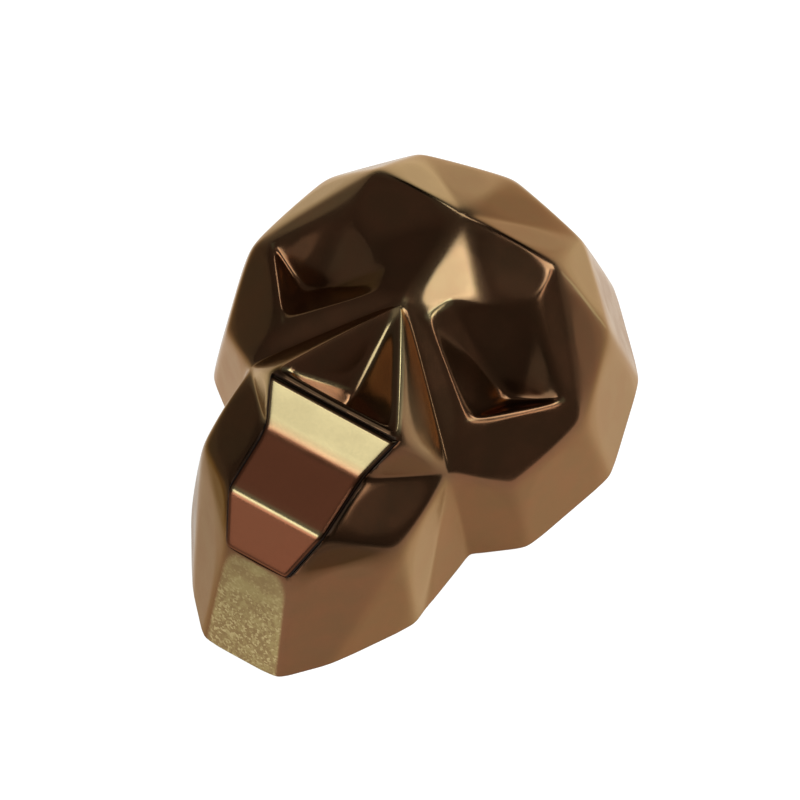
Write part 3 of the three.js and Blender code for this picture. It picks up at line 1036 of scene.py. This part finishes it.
@dataclass
class MouthPlate:
    """The raised plate over the mouth and the fine groove round it.

    Args:
        form: The flat facets it stands on.
        step: Height of the plate above the jaw, in millimetres.
        side_margin: How far the plate stays in from the jaw's side edges.
        top_margin: How far it stays below the nose rim.
        end_margin: How far it stays above the chin facet.
        root: How deep its sides run into the wall.
        taper: How far they run inwards on the way down.
        rounding: Radius of its rim.
        fold_reach: How far the rounding of the lower crease reaches each way.
        bend_reach: The same for the upper crease.
        groove_width: Width of the groove round the plate.
        groove_depth: Depth of that groove.
        row_spacing: Largest distance between two rows of its surface.
        rim_shade_reach: How far down the rim the lustre thins out and painted shade darkens it, as a
            share of its radius.
        high_painted_highlight: Where the painted highlight, pale lustre above the upper crease, sets in,
            measured from it.
        fold_painted_highlight: How far the painted highlight, a pale line on the lower crease, reaches,
            full and at its end.
    """

    form: SkullForm
    step: float = 0.3
    side_margin: float = 0.03
    top_margin: float = 0.26
    end_margin: float = 0.12
    root: float = 1.2
    taper: float = 0.1
    rounding: float = 0.4
    fold_reach: float = 0.26
    bend_reach: float = 1.0
    groove_width: float = 0.14
    groove_depth: float = 0.28
    row_spacing: float = 0.55
    rim_shade_reach: float = 0.3
    high_painted_highlight: tuple[float, float] = (-0.3, 0.5)
    fold_painted_highlight: tuple[float, float] = (0.1, 0.26)

    def line(self, grow: float) -> list[Vector]:
        """Give the plate's right-hand edge on the jaw, from the chin up to the nose.

        Args:
            grow: How far the outline is moved outwards.

        Returns:
            Points along the edge, rounded at both creases.
        """
        k = self.form.corners()
        chin, fold, bend, nose = (k[name] for name in ("chinTop", "plateFold", "plateBend", "noseFoot"))
        line = [slide(chin, fold, self.end_margin - grow)]
        creases = ((chin, fold, bend, self.fold_reach), (fold, bend, nose, self.bend_reach))
        for before, corner, after, reach in creases:
            first, last = slide(corner, before, reach), slide(corner, after, reach)
            for number in range(ARC_STEPS + 1):
                t = number / ARC_STEPS
                line.append(first.lerp(corner, t).lerp(corner.lerp(last, t), t))
        line.append(slide(nose, bend, self.top_margin - grow))
        return [point + Vector((grow - self.side_margin, 0, 0)) for point in line]

    def rises(self, line: list[Vector]) -> list[Vector]:
        """Give the way out of the jaw at each point of a line.

        Args:
            line: Points from the chin up to the nose.

        Returns:
            A unit direction for each point, upright to the line and square to X.
        """
        found = []
        for number in range(len(line)):
            along = line[min(number + 1, len(line) - 1)] - line[max(number - 1, 0)]
            along.x = 0
            along.normalize()
            found.append(Vector((0, -along.z, along.y)))
        return found

    def rim(self) -> list[tuple[float, float]]:
        """Give the rim's rounding as steps inwards and down, from the wall to the top."""
        turns = [math.pi / 2 * number / RIM_STEPS for number in range(RIM_STEPS + 1)]
        return [(self.rounding * (1 - math.cos(a)), self.rounding * (1 - math.sin(a))) for a in turns]

    def rows(self) -> tuple[list[Vector], list[float]]:
        """Lay rows across the plate.

        Returns:
            Each row's right-hand end on the jaw and how far the rim lowers it there.
        """
        line, rim = self.line(0.0), self.rim()
        points = [slide(line[0], line[1], inwards) for inwards, _ in rim]
        drops = [drop for _, drop in rim]
        top = [slide(line[-1], line[-2], inwards) for inwards, _ in reversed(rim)]
        for after in line[1:-1] + [top[0]]:
            here = points[-1]
            parts = max(1, round((after - here).length / self.row_spacing))
            points += [here.lerp(after, (number + 1) / parts) for number in range(parts)]
            drops += [0.0] * parts
        points += top[1:]
        drops += [drop for _, drop in reversed(rim)][1:]
        return points, drops

    def columns(self, half: float) -> tuple[list[float], list[float]]:
        """Lay columns along the plate.

        Args:
            half: Half the plate's breadth at a row.

        Returns:
            Each column's place across the plate and how far the rim lowers it there.
        """
        rim = self.rim()
        right = [(half - inwards, drop) for inwards, drop in reversed(rim)]
        inner = half - self.rounding
        steps = range(-FLAT_COLUMNS + 1, FLAT_COLUMNS)
        flat = [(inner * number / FLAT_COLUMNS, 0.0) for number in steps]
        both = [(-place, drop) for place, drop in reversed(right)] + flat + right
        return [place for place, _ in both], [drop for _, drop in both]

    def grid(self) -> tuple[list[list[Vector]], list[list[float]]]:
        """Lay the plate's surface as a grid with its sides run down into the wall.

        Returns:
            The points in rows from the chin up, and how far the rim lowers each.
        """
        ends, row_drops = self.rows()
        places, lowered = [], []
        for end, rise, row_drop in zip(ends, self.rises(ends), row_drops):
            across_row, drops = self.columns(end.x)
            row = []
            for x, drop in zip(across_row, drops):
                row.append(Vector((x, end.y, end.z)) + rise * (self.step - drop - row_drop))
            low = Vector((self.taper, 0, -self.root))
            mirrored = Vector((-self.taper, 0, -self.root))
            places.append([row[0] + low] + row + [row[-1] + mirrored])
            total = [drop + row_drop for drop in drops]
            lowered.append([2 * self.rounding] + total + [2 * self.rounding])
        for at, way in ((0, 1), (-1, -1)):
            inwards = Vector((0, way * self.taper, -self.root))
            extra = [point + inwards for point in places[at]]
            extra[0].z = extra[1].z
            extra[-1].z = extra[-2].z
            places.insert(0 if at == 0 else len(places), extra)
            lowered.insert(0 if at == 0 else len(lowered), [2 * self.rounding] * len(extra))
        return places, lowered

    def build(self, lustre: Material) -> Object:
        """Build the plate as a closed block.

        Args:
            lustre: Finish of the plate.

        Returns:
            The plate as an object of its own.
        """
        places, lowered = self.grid()
        count, wide = len(places), len(places[0])
        faces: list[Face] = []
        for i in range(count - 1):
            for j in range(wide - 1):
                a = i * wide + j
                faces.append([a, a + 1, a + 1 + wide, a + wide])
        for i in range(1, count - 2):
            a, b = i * wide, (i + 1) * wide
            faces.append([a, b, b + wide - 1, a + wide - 1])
        faces.append([wide, 2 * wide - 1] + list(range(wide - 1, -1, -1)))
        last = (count - 1) * wide
        faces.append([last - 1, last - wide] + list(range(last, last + wide)))
        points = [point for row in places for point in row]
        drops = [drop for row in lowered for drop in row]
        mesh = net_mesh("mouth_plate", Net(points, faces, [""] * len(faces)))
        mesh.materials.append(lustre)
        self.mask(mesh, points, drops)
        piece = new_object("mouth_plate", mesh)
        add_modifier(piece, "SUBSURF", levels=2, render_levels=2)
        apply_modifiers(piece)
        return piece

    def mask(self, mesh: Mesh, points: list[Vector], drops: list[float]) -> None:
        """Store the plate's painted highlights, pale lustre above the upper crease and along the lower
        one, and the painted shade of thin lustre down its rim.

        Args:
            mesh: The plate's mesh.
            points: Its points, in millimetres.
            drops: How far the rim lowers each.
        """
        k = self.form.corners()
        bend, fold = k["plateBend"].y, k["plateFold"].y
        thin_and_shade, gold = [], []
        for point, drop in zip(points, drops):
            # painted shade: thin lustre and darker colour down the rim
            shaded_rim = ease(0.0, self.rim_shade_reach * self.rounding, drop)
            # painted highlight: pale lustre above the upper crease and along the lower one
            high = ease(*self.high_painted_highlight, point.y - bend)
            line = 1 - ease(*self.fold_painted_highlight, abs(point.y - fold))
            thin_and_shade.append(shaded_rim)
            gold.append(max(high, line) * (1 - shaded_rim))
        set_point_values(mesh, Mask.THIN.value, thin_and_shade)
        set_point_values(mesh, Mask.GOLD_HIGHLIGHT.value, gold)
        set_point_values(mesh, Mask.COPPER.value, [1.0] * len(points))

    def groove(self) -> Object:
        """Build the block that is cut out of the skin before the plate goes in.

        Returns:
            The block, with its faces on the second material, the dark bare chocolate: chocolate bare of
            lustre in the groove, and painted shade along the crease round the plate.
        """
        line = self.line(self.groove_width)
        points, faces = [], []
        for corner, rise in zip(line, self.rises(line)):
            for height in (GROOVE_TOP, -self.groove_depth):
                lifted = corner + rise * height
                points += [lifted, lifted * Vector((-1, 1, 1))]
        for a in range(0, len(points) - 4, 4):
            for first, second in ((0, 1), (1, 3), (3, 2), (2, 0)):
                faces.append([a + second, a + first, a + 4 + first, a + 4 + second])
        faces.append([0, 2, 3, 1])
        last = len(points) - 4
        faces.append([last + 1, last + 3, last + 2, last])
        mesh = net_mesh("plate_groove", Net(points, faces, [""] * len(faces)))
        work = bmesh.new()
        work.from_mesh(mesh)
        bmesh.ops.recalc_face_normals(work, faces=work.faces[:])
        # the groove takes the dark bare finish: no lustre in it, and painted shade in the crease
        for face in work.faces:
            face.material_index = 1
        work.to_mesh(mesh)
        work.free()
        return new_object("plate_groove", mesh)


@dataclass(frozen=True)
class BeadRow:
    """A row of small beads of lustre in a valley.

    Args:
        start: Corner that the row starts from, "~" before it for the left-hand one.
        end: Corner that it runs to.
        shares: Where on the way it starts and ends.
        radius: Radius of its beads, in millimetres.
        lift: How far its middle stands above the valley.
    """

    start: str
    end: str
    shares: tuple[float, float]
    radius: float = 0.065
    lift: float = 0.08


@dataclass
class ChocolateShell:
    """The moulded shell that carries every facet.

    Args:
        form: The flat facets it is rounded from.
        edge: How far each facet stops short of its ridges, in millimetres.
        valley: The same for the valleys, which a mould leaves sharper.
        wide_edges: The same for single edges, by their corners.
        edge_light_and_shade: Edges along which a line is painted, a highlight in pale gold or shade with
            thin lustre, and how far it reaches.
        mark_core: Share of that reach over which a mark is full.
        support: Width of the flat margin that each facet keeps.
        levels: Subdivision levels of the rounded skin.
        bead_rows: Rows of beads in the valleys.
        bead_string: Spacing, scatter and fineness of the beads, in millimetres, and their seed.
        shell_waves: Height and length of the unevenness of the shell, in millimetres.
        plate_waves: The same for the mouth plate.
        facet_thin_and_shade: How thin the lustre is on some facets, by name, which also paints shade on
            them.
        pale_highlight: How much painted highlight, pale gold lustre, some facets take, by name.
    """

    form: SkullForm = field(default_factory=SkullForm)
    edge: float = 0.26
    valley: float = 0.07
    wide_edges: tuple[tuple[str, str, float], ...] = (
        ("browInner", "socketPit", 0.7),
        ("browOuter", "socketPit", 0.7),
        ("socketLow", "socketPit", 0.3),
        ("socketOuter", "socketPit", 0.16),
        ("socketOuter", "socketLow", 0.3),
        ("pitTop", "nosePit", 0.36),
        ("pitFoot", "nosePit", 0.26),
        ("noseTop", "noseFoot", 0.38),
        ("noseTop", "foreheadTop", 0.4),
        ("browMiddle", "foreheadTop", 0.4),
        ("foreheadTop", "foreheadCorner", 0.1),
        ("foreheadTop", "crownCorner", 0.12),
        ("browInner", "socketLow", 0.1),
        ("browOuter", "foreheadCorner", 0.12),
        ("noseFoot", "~noseFoot", 0.08),
    )
    edge_light_and_shade: tuple[tuple[str, str, Mask, float], ...] = (
        ("noseTop", "noseFoot", Mask.GOLD_HIGHLIGHT, 0.42),
        ("pitTop", "nosePit", Mask.GOLD_HIGHLIGHT, 0.42),
        ("~pitFoot", "nosePit", Mask.GOLD_HIGHLIGHT, 0.22),
        ("socketLow", "socketOuter", Mask.GOLD_HIGHLIGHT, 0.22),
        ("~socketLow", "~socketOuter", Mask.GOLD_HIGHLIGHT, 0.22),
        ("foreheadCorner", "temple", Mask.GOLD_HIGHLIGHT, 0.22),
        ("browInner", "browRise", Mask.GOLD_HIGHLIGHT, 0.36),
        ("foreheadTop", "foreheadCorner", Mask.THIN, 0.19),
        ("foreheadTop", "~foreheadCorner", Mask.THIN, 0.2),
        ("plateFold", "plateBend", Mask.THIN, 0.6),
        ("~plateFold", "~plateBend", Mask.THIN, 0.4),
        ("chinTop", "plateFold", Mask.THIN, 0.45),
    )
    mark_core: float = 0.45
    support: float = 0.3
    levels: int = 3
    bead_rows: tuple[BeadRow, ...] = (
        BeadRow("socketPit", "socketOuter", (0.03, 0.85)),
        BeadRow("~socketPit", "~socketOuter", (0.05, 0.85)),
    )
    bead_string: dict[str, float | int] = field(
        default_factory=lambda: {"Spacing": 0.13, "Jitter": 0.045, "Voxel": 0.022, "Seed": 5}
    )
    shell_waves: tuple[float, float] = (0.018, 5)
    plate_waves: tuple[float, float] = (0.012, 1.6)
    facet_thin_and_shade: dict[str, float] = field(
        default_factory=lambda: {
            "jawNear": 0.74, "~jawNear": 0.44, "~jawFront": 0.22, "~jawSide": 0.3,
            "jawFront": 0.14, "jawSide": 0.08, "crownTop": 0.14, "crownFlank": 0.06,
            "cheekWall": 0.13, "lipFlank": 0.4, "templeTop": 0.25, "jawSlope": 0.35,
            "~jawSlope": 0.3, "~cheek": 0.3, "foreheadOuter": 0.3, "~foreheadInner": 0.35,
            "socketRoof": 0.35, "~socketRoof": 0.2, "~socketBrow": 0.4, "socketFar": 0.5,
            "socketUnder": 0.7, "noseSide": 0.5, "~noseFlank": 0.3, "noseRimLow": 0.9,
            "plateHigh": 0.9,
        }
    )
    pale_highlight: dict[str, float] = field(
        default_factory=lambda: {
            "foreheadInner": 0.3, "~crownFlank": 0.8, "~templeTop": 0.7, "~lipFlank": 1.0,
            "~browSlope": 0.15, "~crownTop": 0.3, "~crownSlope": 0.2, "crownSlope": 0.5,
            "crownFlank": 0.1, "templeRear": 0.2, "jawRear": 0.3, "noseFlank": 0.4,
            "noseSide": 0.5,
        }
    )

    def skin(self) -> Object:
        """Build the rounded outer skin, closed below the base.

        Returns:
            The skin as an object of its own.
        """
        flat, number = self.form.net()
        wide = {}
        for start, end, distance in self.wide_edges:
            wide[frozenset((number[start], number[end]))] = distance
            wide[frozenset((number[twin(start)], number[twin(end)]))] = distance
        net = flat.softened(self.edge, self.valley, wide).supported(self.support)
        piece = new_object("shell_skin", net_mesh("shell_skin", net))
        self.mask(piece.data, net)
        add_modifier(piece, "SUBSURF", levels=self.levels, render_levels=self.levels)
        apply_modifiers(piece)
        self.paint_edge_light_and_shade(piece.data, flat, number)
        return piece

    def paint_edge_light_and_shade(self, mesh: Mesh, flat: Net, number: dict[str, int]) -> None:
        """Paint highlight lines of pale gold and shade lines of thin lustre into the masks along single
        edges.

        Args:
            mesh: The rounded skin, in metres.
            flat: The net of flat facets.
            number: Its corners' numbers by name.
        """
        places = [vertex.co / MM for vertex in mesh.vertices]
        for start, end, mask, reach in self.edge_light_and_shade:
            layer = mesh.attributes[mask.value].data
            values = [0.0] * len(places)
            layer.foreach_get("value", values)
            ends = flat.points[number[start]], flat.points[number[end]]
            for index, place in enumerate(places):
                share = ease(1.0, self.mark_core, off_line(place, *ends) / reach)
                values[index] = max(values[index], share)
            layer.foreach_set("value", values)

    def mask(self, mesh: Mesh, net: Net) -> None:
        """Store where powder lies loose, where lustre is thin and painted shade darkens, where
        highlights are painted pale and where ridges are polished.

        Args:
            mesh: The mesh of the net.
            net: The net with the facets' names.
        """
        values = {mask: [0.0] * len(net.points) for mask in Mask}
        for face, name in zip(net.faces, net.names):
            shown = {
                Mask.POWDER: float(name == "chin"),
                Mask.RIDGE: float(not name),
                # thin lustre with painted shade, and painted highlights in pale gold
                Mask.THIN: self.facet_thin_and_shade.get(name, 0.0),
                Mask.GOLD_HIGHLIGHT: self.pale_highlight.get(name, 0.0),
            }
            for mask, value in shown.items():
                for corner in face:
                    values[mask][corner] = max(values[mask][corner], value)
        for mask, numbers in values.items():
            set_point_values(mesh, mask.value, numbers)

    def beads(self, lustre: Material) -> Object:
        """Build the rows of beads that stand in the valleys.

        Args:
            lustre: Their finish.

        Returns:
            One object of closed ropes of beads.
        """
        flat, number = self.form.net()
        points, edges, sizes = [], [], []
        for row in self.bead_rows:
            start, end = flat.points[number[row.start]], flat.points[number[row.end]]
            lift = Vector((0, 0, row.lift))
            edges.append([len(points), len(points) + 1])
            points += [start.lerp(end, share) + lift for share in row.shares]
            sizes += [row.radius] * 2
        mesh = bpy.data.meshes.new("lustre_beads")
        mesh.from_pydata(points, edges, [])
        set_point_values(mesh, BEAD_SIZE, sizes)
        piece = new_object("lustre_beads", mesh)
        run_tree(piece, bead_tree(lustre), {**self.bead_string, "Scale": MM})
        made = piece.data
        made.materials.clear()
        made.materials.append(lustre)
        made.polygons.foreach_set("material_index", [0] * len(made.polygons))
        return piece

    def build(self, lustre: Material, bare: Material) -> Object:
        """Build the whole shell with its hollow.

        Args:
            lustre: Finish of the outside.
            bare: Finish of the inside and the rim.

        Returns:
            The finished piece.
        """
        skin = self.skin()
        mouth = MouthPlate(self.form)
        plate = mouth.build(lustre)
        uneven = uneven_surface_tree(lustre)
        for piece, (height, size) in ((skin, self.shell_waves), (plate, self.plate_waves)):
            run_tree(piece, uneven, {"Wave Height": height * MM, "Wave Size": size * MM})
        work = ((mouth.groove(), "DIFFERENCE"), (plate, "UNION"), (self.beads(lustre), "UNION"))
        for tool, operation in work:
            add_modifier(skin, "BOOLEAN", object=tool, operation=operation, solver="MANIFOLD")
            apply_modifiers(skin)
            bpy.data.objects.remove(tool)
            LOG.info("skin after %s: %d faces", operation.lower(), len(skin.data.polygons))
        mesh = skin.data
        indices = [min(polygon.material_index, 1) for polygon in mesh.polygons]
        mesh.materials.clear()
        for finish in (lustre, bare):
            mesh.materials.append(finish)
        mesh.polygons.foreach_set("material_index", indices)
        self.close_below(mesh)
        skin.name = "chocolate_shell_relief"
        mesh.name = skin.name
        return skin

    def close_below(self, mesh: Mesh) -> None:
        """Cut the skin level at the base and join it to the shell's hollow by the rim.

        Args:
            mesh: The closed skin, which becomes the closed shell.
        """
        work = bmesh.new()
        work.from_mesh(mesh)
        whole = work.verts[:] + work.edges[:] + work.faces[:]
        up = Vector((0, 0, 1))
        bmesh.ops.bisect_plane(
            work, geom=whole, plane_co=Vector(), plane_no=up, clear_inner=True, dist=SAME_PLACE
        )
        hollow = self.hollow()
        work.from_mesh(hollow)
        bpy.data.meshes.remove(hollow)
        rim = [e for e in work.edges if e.is_boundary]
        filled = bmesh.ops.triangle_fill(work, edges=rim, use_beauty=True, normal=-up)
        for made in filled["geom"]:
            if isinstance(made, bmesh.types.BMFace):
                made.material_index = 1
        bmesh.ops.recalc_face_normals(work, faces=work.faces[:])
        for made in work.faces:
            made.smooth = True
        for edge in work.edges:
            edge.smooth = edge.smooth and edge.calc_face_angle(0.0) < SHARP_ANGLE
        work.to_mesh(mesh)
        work.free()

    def hollow(self) -> Mesh:
        """Take the hollow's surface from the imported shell.

        Returns:
            The hollow's faces, open at the base.
        """
        work = bmesh.new()
        work.from_mesh(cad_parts["chocolate_shell"].data)
        bmesh.ops.remove_doubles(work, verts=work.verts[:], dist=SAME_PLACE)
        level = [f for f in work.faces if all(abs(v.co.z) < BASE_LEVEL for v in f.verts)]
        bmesh.ops.delete(work, geom=level, context="FACES")
        search = [max(work.verts, key=lambda v: v.co.z)]
        outside = set(search)
        while search:
            here = search.pop()
            for after in {e.other_vert(here) for e in here.link_edges} - outside:
                outside.add(after)
                search.append(after)
        bmesh.ops.delete(work, geom=list(outside), context="VERTS")
        for made in work.faces:
            made.material_index = 1
        for edge in work.edges:
            edge.smooth = False
        mesh = bpy.data.meshes.new("hollow")
        work.to_mesh(mesh)
        work.free()
        kept_normals = mesh.attributes.get("custom_normal")
        if kept_normals:
            mesh.attributes.remove(kept_normals)
        return mesh


# The studio


@dataclass(frozen=True)
class Lamp:
    """One soft lamp.

    Args:
        name: Name of the lamp.
        towards: Direction from the piece to the lamp.
        distance: Distance from the piece, in metres.
        size: Width and height, in metres.
        strength: Radiance, where 1 is white.
        colour: Its colour.
        mirrored: Whether reflections show it.
    """

    name: str
    towards: tuple[float, float, float]
    distance: float
    size: tuple[float, float]
    strength: float
    colour: Colour = (1.0, 1.0, 1.0)
    mirrored: bool = True

    def build(self, target: Vector) -> Object:
        """Hang the lamp and turn it to the piece.

        Args:
            target: The point it looks at.

        Returns:
            The lamp.
        """
        data = bpy.data.lights.new(self.name, "AREA")
        data.shape = "RECTANGLE"
        data.size, data.size_y = self.size
        data.energy = self.strength * math.pi * self.size[0] * self.size[1]
        data.color = self.colour
        lamp = bpy.data.objects.new(self.name, data)
        bpy.context.scene.collection.objects.link(lamp)
        direction = Vector(self.towards).normalized()
        lamp.location = target + direction * self.distance
        lamp.rotation_euler = direction.to_track_quat("Z", "Y").to_euler()
        lamp.visible_glossy = self.mirrored
        return lamp


@dataclass
class Studio:
    """Floor, lamps, world and camera.

    Args:
        azimuth: How far the camera stands round from the chin, in degrees.
        elevation: How far it stands above the base, in degrees.
        distance: Distance from its target, in metres.
        lens: Focal length, in millimetres.
        middle: The point of the piece that the picture's place is given for, in millimetres.
        pixel: Where that point lies in the picture.
        picture: Width and height of the picture, in pixels.
        aim: Height of the point that the lamps look at, in millimetres.
        floor_side: Half the side of the floor, in metres.
        floor_drop: How far the floor lies below the piece, in metres.
        floor_tone: Darkest and lightest tone of the floor where the lamps light it.
        painted_pool: Middle of the painted pool of light on the floor, which only reflections see, in
            metres.
        painted_pool_shape: How much narrower that painted pool of light is along each axis.
        painted_pool_edge: Where it starts and ends to fade, in metres from its middle.
        painted_pool_rest: How bright the floor beyond it is mirrored.
        glow: How bright the floor looks and is mirrored, where 1 is white.
        room: Strength of the even light of the room.
        lamps: The lamps.
    """

    azimuth: float = 30.75
    elevation: float = 65.0
    distance: float = 0.655
    lens: float = 450.0
    middle: tuple[float, float, float] = (0.0, 0.0, 6.55)
    pixel: tuple[float, float] = (388.7, 390.1)
    picture: int = 800
    aim: float = 10.0
    floor_side: float = 3.0
    floor_drop: float = 0.00005
    floor_tone: tuple[float, float] = (0.29, 0.31)
    painted_pool: tuple[float, float, float] = (0.018, 0.026, 0.0)
    painted_pool_shape: tuple[float, float, float] = (1.0, 0.6, 1.0)
    painted_pool_edge: tuple[float, float] = (0.03, 0.062)
    painted_pool_rest: float = 0.05
    glow: float = 0.92
    room: float = 0.12
    lamps: tuple[Lamp, ...] = (
        Lamp("front_softbox", (-0.146, -0.826, 0.545), 0.4, (0.204, 0.185), 3.2, SOFT_WHITE),
        Lamp("nose_softbox", (-0.156, -0.581, 0.799), 0.4, (0.214, 0.098), 5.0, SOFT_WHITE),
        Lamp("front_fill", (-0.216, -0.97, 0.14), 0.45, (0.22, 0.1), 0.8),
        Lamp("back_softbox", (0.397, 0.716, 0.574), 0.4, (0.127, 0.34), 6.2, SOFT_WHITE),
        Lamp("brow_panel", (0.496, 0.387, 0.777), 0.4, (0.124, 0.098), 5.4, SOFT_WHITE),
        Lamp("side_softbox", (0.76, 0.366, 0.537), 0.45, (0.175, 0.055), 4.5, (0.9, 1.0, 1.0)),
        Lamp("side_glow", (0.617, 0.595, 0.515), 0.45, (0.08, 0.095), 2.5),
        Lamp("rear_panel", (-0.253, 0.911, 0.326), 0.45, (0.096, 0.063), 5.0, SOFT_WHITE),
        Lamp("roof_panel", (-0.195, 0.071, 0.978), 0.5, (0.25, 0.25), 0.22),
        Lamp("overhead_softbox", (0.0, 0.1, 1.0), 0.9, (1.2, 1.2), 0.2, mirrored=False),
    )

    def axes(self) -> tuple[Vector, Vector, Vector]:
        """Give the picture's right and up, and the way from the piece to the camera."""
        turn, rise = math.radians(self.azimuth), math.radians(self.elevation)
        right = Vector((math.cos(turn), math.sin(turn), 0))
        level = Vector((math.sin(turn), -math.cos(turn), 0))
        out = level * math.cos(rise) + Vector((0, 0, math.sin(rise)))
        return right, out.cross(right), out

    def camera(self) -> Object:
        """Stand the camera at the photograph's angle."""
        right, up, out = self.axes()
        per_pixel = self.distance * SENSOR / self.lens / self.picture
        half = self.picture / 2
        target = Vector(self.middle) * MM
        target += right * ((half - self.pixel[0]) * per_pixel)
        target += up * ((self.pixel[1] - half) * per_pixel)
        data = bpy.data.cameras.new("camera")
        data.lens = self.lens
        data.sensor_width = SENSOR
        data.clip_start, data.clip_end = 0.01, 20.0
        camera = bpy.data.objects.new("camera", data)
        bpy.context.scene.collection.objects.link(camera)
        turned = Matrix((right, up, out)).transposed().to_4x4()
        camera.matrix_world = Matrix.Translation(target + out * self.distance) @ turned
        bpy.context.scene.camera = camera
        return camera

    def floor(self) -> Object:
        """Lay the white floor, which reflections see with a painted pool of light round the piece."""
        made, build = blank_material("white_floor")
        place = build.node("ShaderNodeTexCoord").outputs["Object"]
        inputs = {"Vector": place, "Scale": 900.0, "Detail": 3.0}
        speck = build.node("ShaderNodeTexNoise", inputs).outputs[0]
        white = build.ramp(speck, 0.2, 0.8, *self.floor_tone)
        paper = build.node("ShaderNodeBsdfDiffuse", {"Color": white})
        path = build.node("ShaderNodeLightPath").outputs
        # Reflections see a painted pool of light, bright near the piece and fading away from it
        passed = build.math("MAXIMUM", path["Is Glossy Ray"], path["Is Transmission Ray"])
        offset = build.vector_math("SUBTRACT", place, self.painted_pool)
        shrunk = build.vector_math("MULTIPLY", offset, self.painted_pool_shape)
        away = build.node("ShaderNodeVectorMath", {0: shrunk}, operation="LENGTH").outputs["Value"]
        painted_pool = build.ramp(away, *self.painted_pool_edge, self.glow, self.painted_pool_rest)
        near = build.math("MULTIPLY", passed, painted_pool)
        seen = build.math("MULTIPLY_ADD", path["Is Camera Ray"], self.glow, near)
        glow = build.node("ShaderNodeEmission", {"Strength": seen})
        both = build.node("ShaderNodeAddShader", {0: paper.outputs[0], 1: glow.outputs[0]})
        build.node("ShaderNodeOutputMaterial", {"Surface": both.outputs[0]})
        mesh = bpy.data.meshes.new("floor")
        signs = ((-1, -1), (1, -1), (1, 1), (-1, 1))
        places = [(x * self.floor_side, y * self.floor_side, -self.floor_drop) for x, y in signs]
        mesh.from_pydata(places, [], [[0, 1, 2, 3]])
        mesh.materials.append(made)
        floor = new_object("floor", mesh)
        return floor

    def world(self) -> None:
        """Fill the room with a dim even light."""
        world = bpy.data.worlds.new("room")
        bpy.context.scene.world = world
        world.use_nodes = True
        world.node_tree.nodes.clear()
        build = TreeBuilder(world.node_tree)
        inputs = {"Color": (1.0, 1.0, 1.0, 1.0), "Strength": self.room}
        glow = build.node("ShaderNodeBackground", inputs)
        build.node("ShaderNodeOutputWorld", {"Surface": glow.outputs[0]})

    def build(self) -> None:
        """Set up the whole studio."""
        self.camera()
        self.floor()
        self.world()
        target = Vector((0, 0, self.aim * MM))
        for lamp in self.lamps:
            lamp.build(target)
        bpy.context.scene.view_settings.view_transform = "Standard"


# Placing and building


def seat(piece: Object, node: str) -> None:
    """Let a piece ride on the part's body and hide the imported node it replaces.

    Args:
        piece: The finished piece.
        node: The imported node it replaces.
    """
    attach(piece, "root")
    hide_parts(node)
    piece.data.calc_loop_triangles()
    LOG.info("%s: %d triangles", piece.name, len(piece.data.loop_triangles))


def dress_node(node: str, finish: Material) -> None:
    """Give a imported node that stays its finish."""
    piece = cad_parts[node]
    piece.data.materials.clear()
    piece.data.materials.append(finish)
    LOG.info("%s: packed node, dressed", node)


def main() -> None:
    """Build the pieces and the studio."""
    logging.basicConfig(level=logging.INFO, format="%(name)s: %(message)s")
    groups = Groups()
    lustre = LustreFinish().material(groups)
    chocolate = ChocolateFinish(
        "plain_chocolate",
        dark=(0.03, 0.0125, 0.007),
        light=(0.05, 0.022, 0.012),
        gloss=0.42,
        relief=0.00004,
    )
    ganache = ChocolateFinish(
        "ganache",
        dark=(0.05, 0.02, 0.011),
        light=(0.075, 0.033, 0.018),
        gloss=0.62,
        relief=0.00006,
    )
    bare = chocolate.material(groups)
    shell = ChocolateShell().build(lustre, bare)
    seat(shell, "chocolate_shell")
    dress_node("closing_base", bare)
    dress_node("filling", ganache.material(groups))
    Studio().build()


if __name__ == "__main__":
    main()
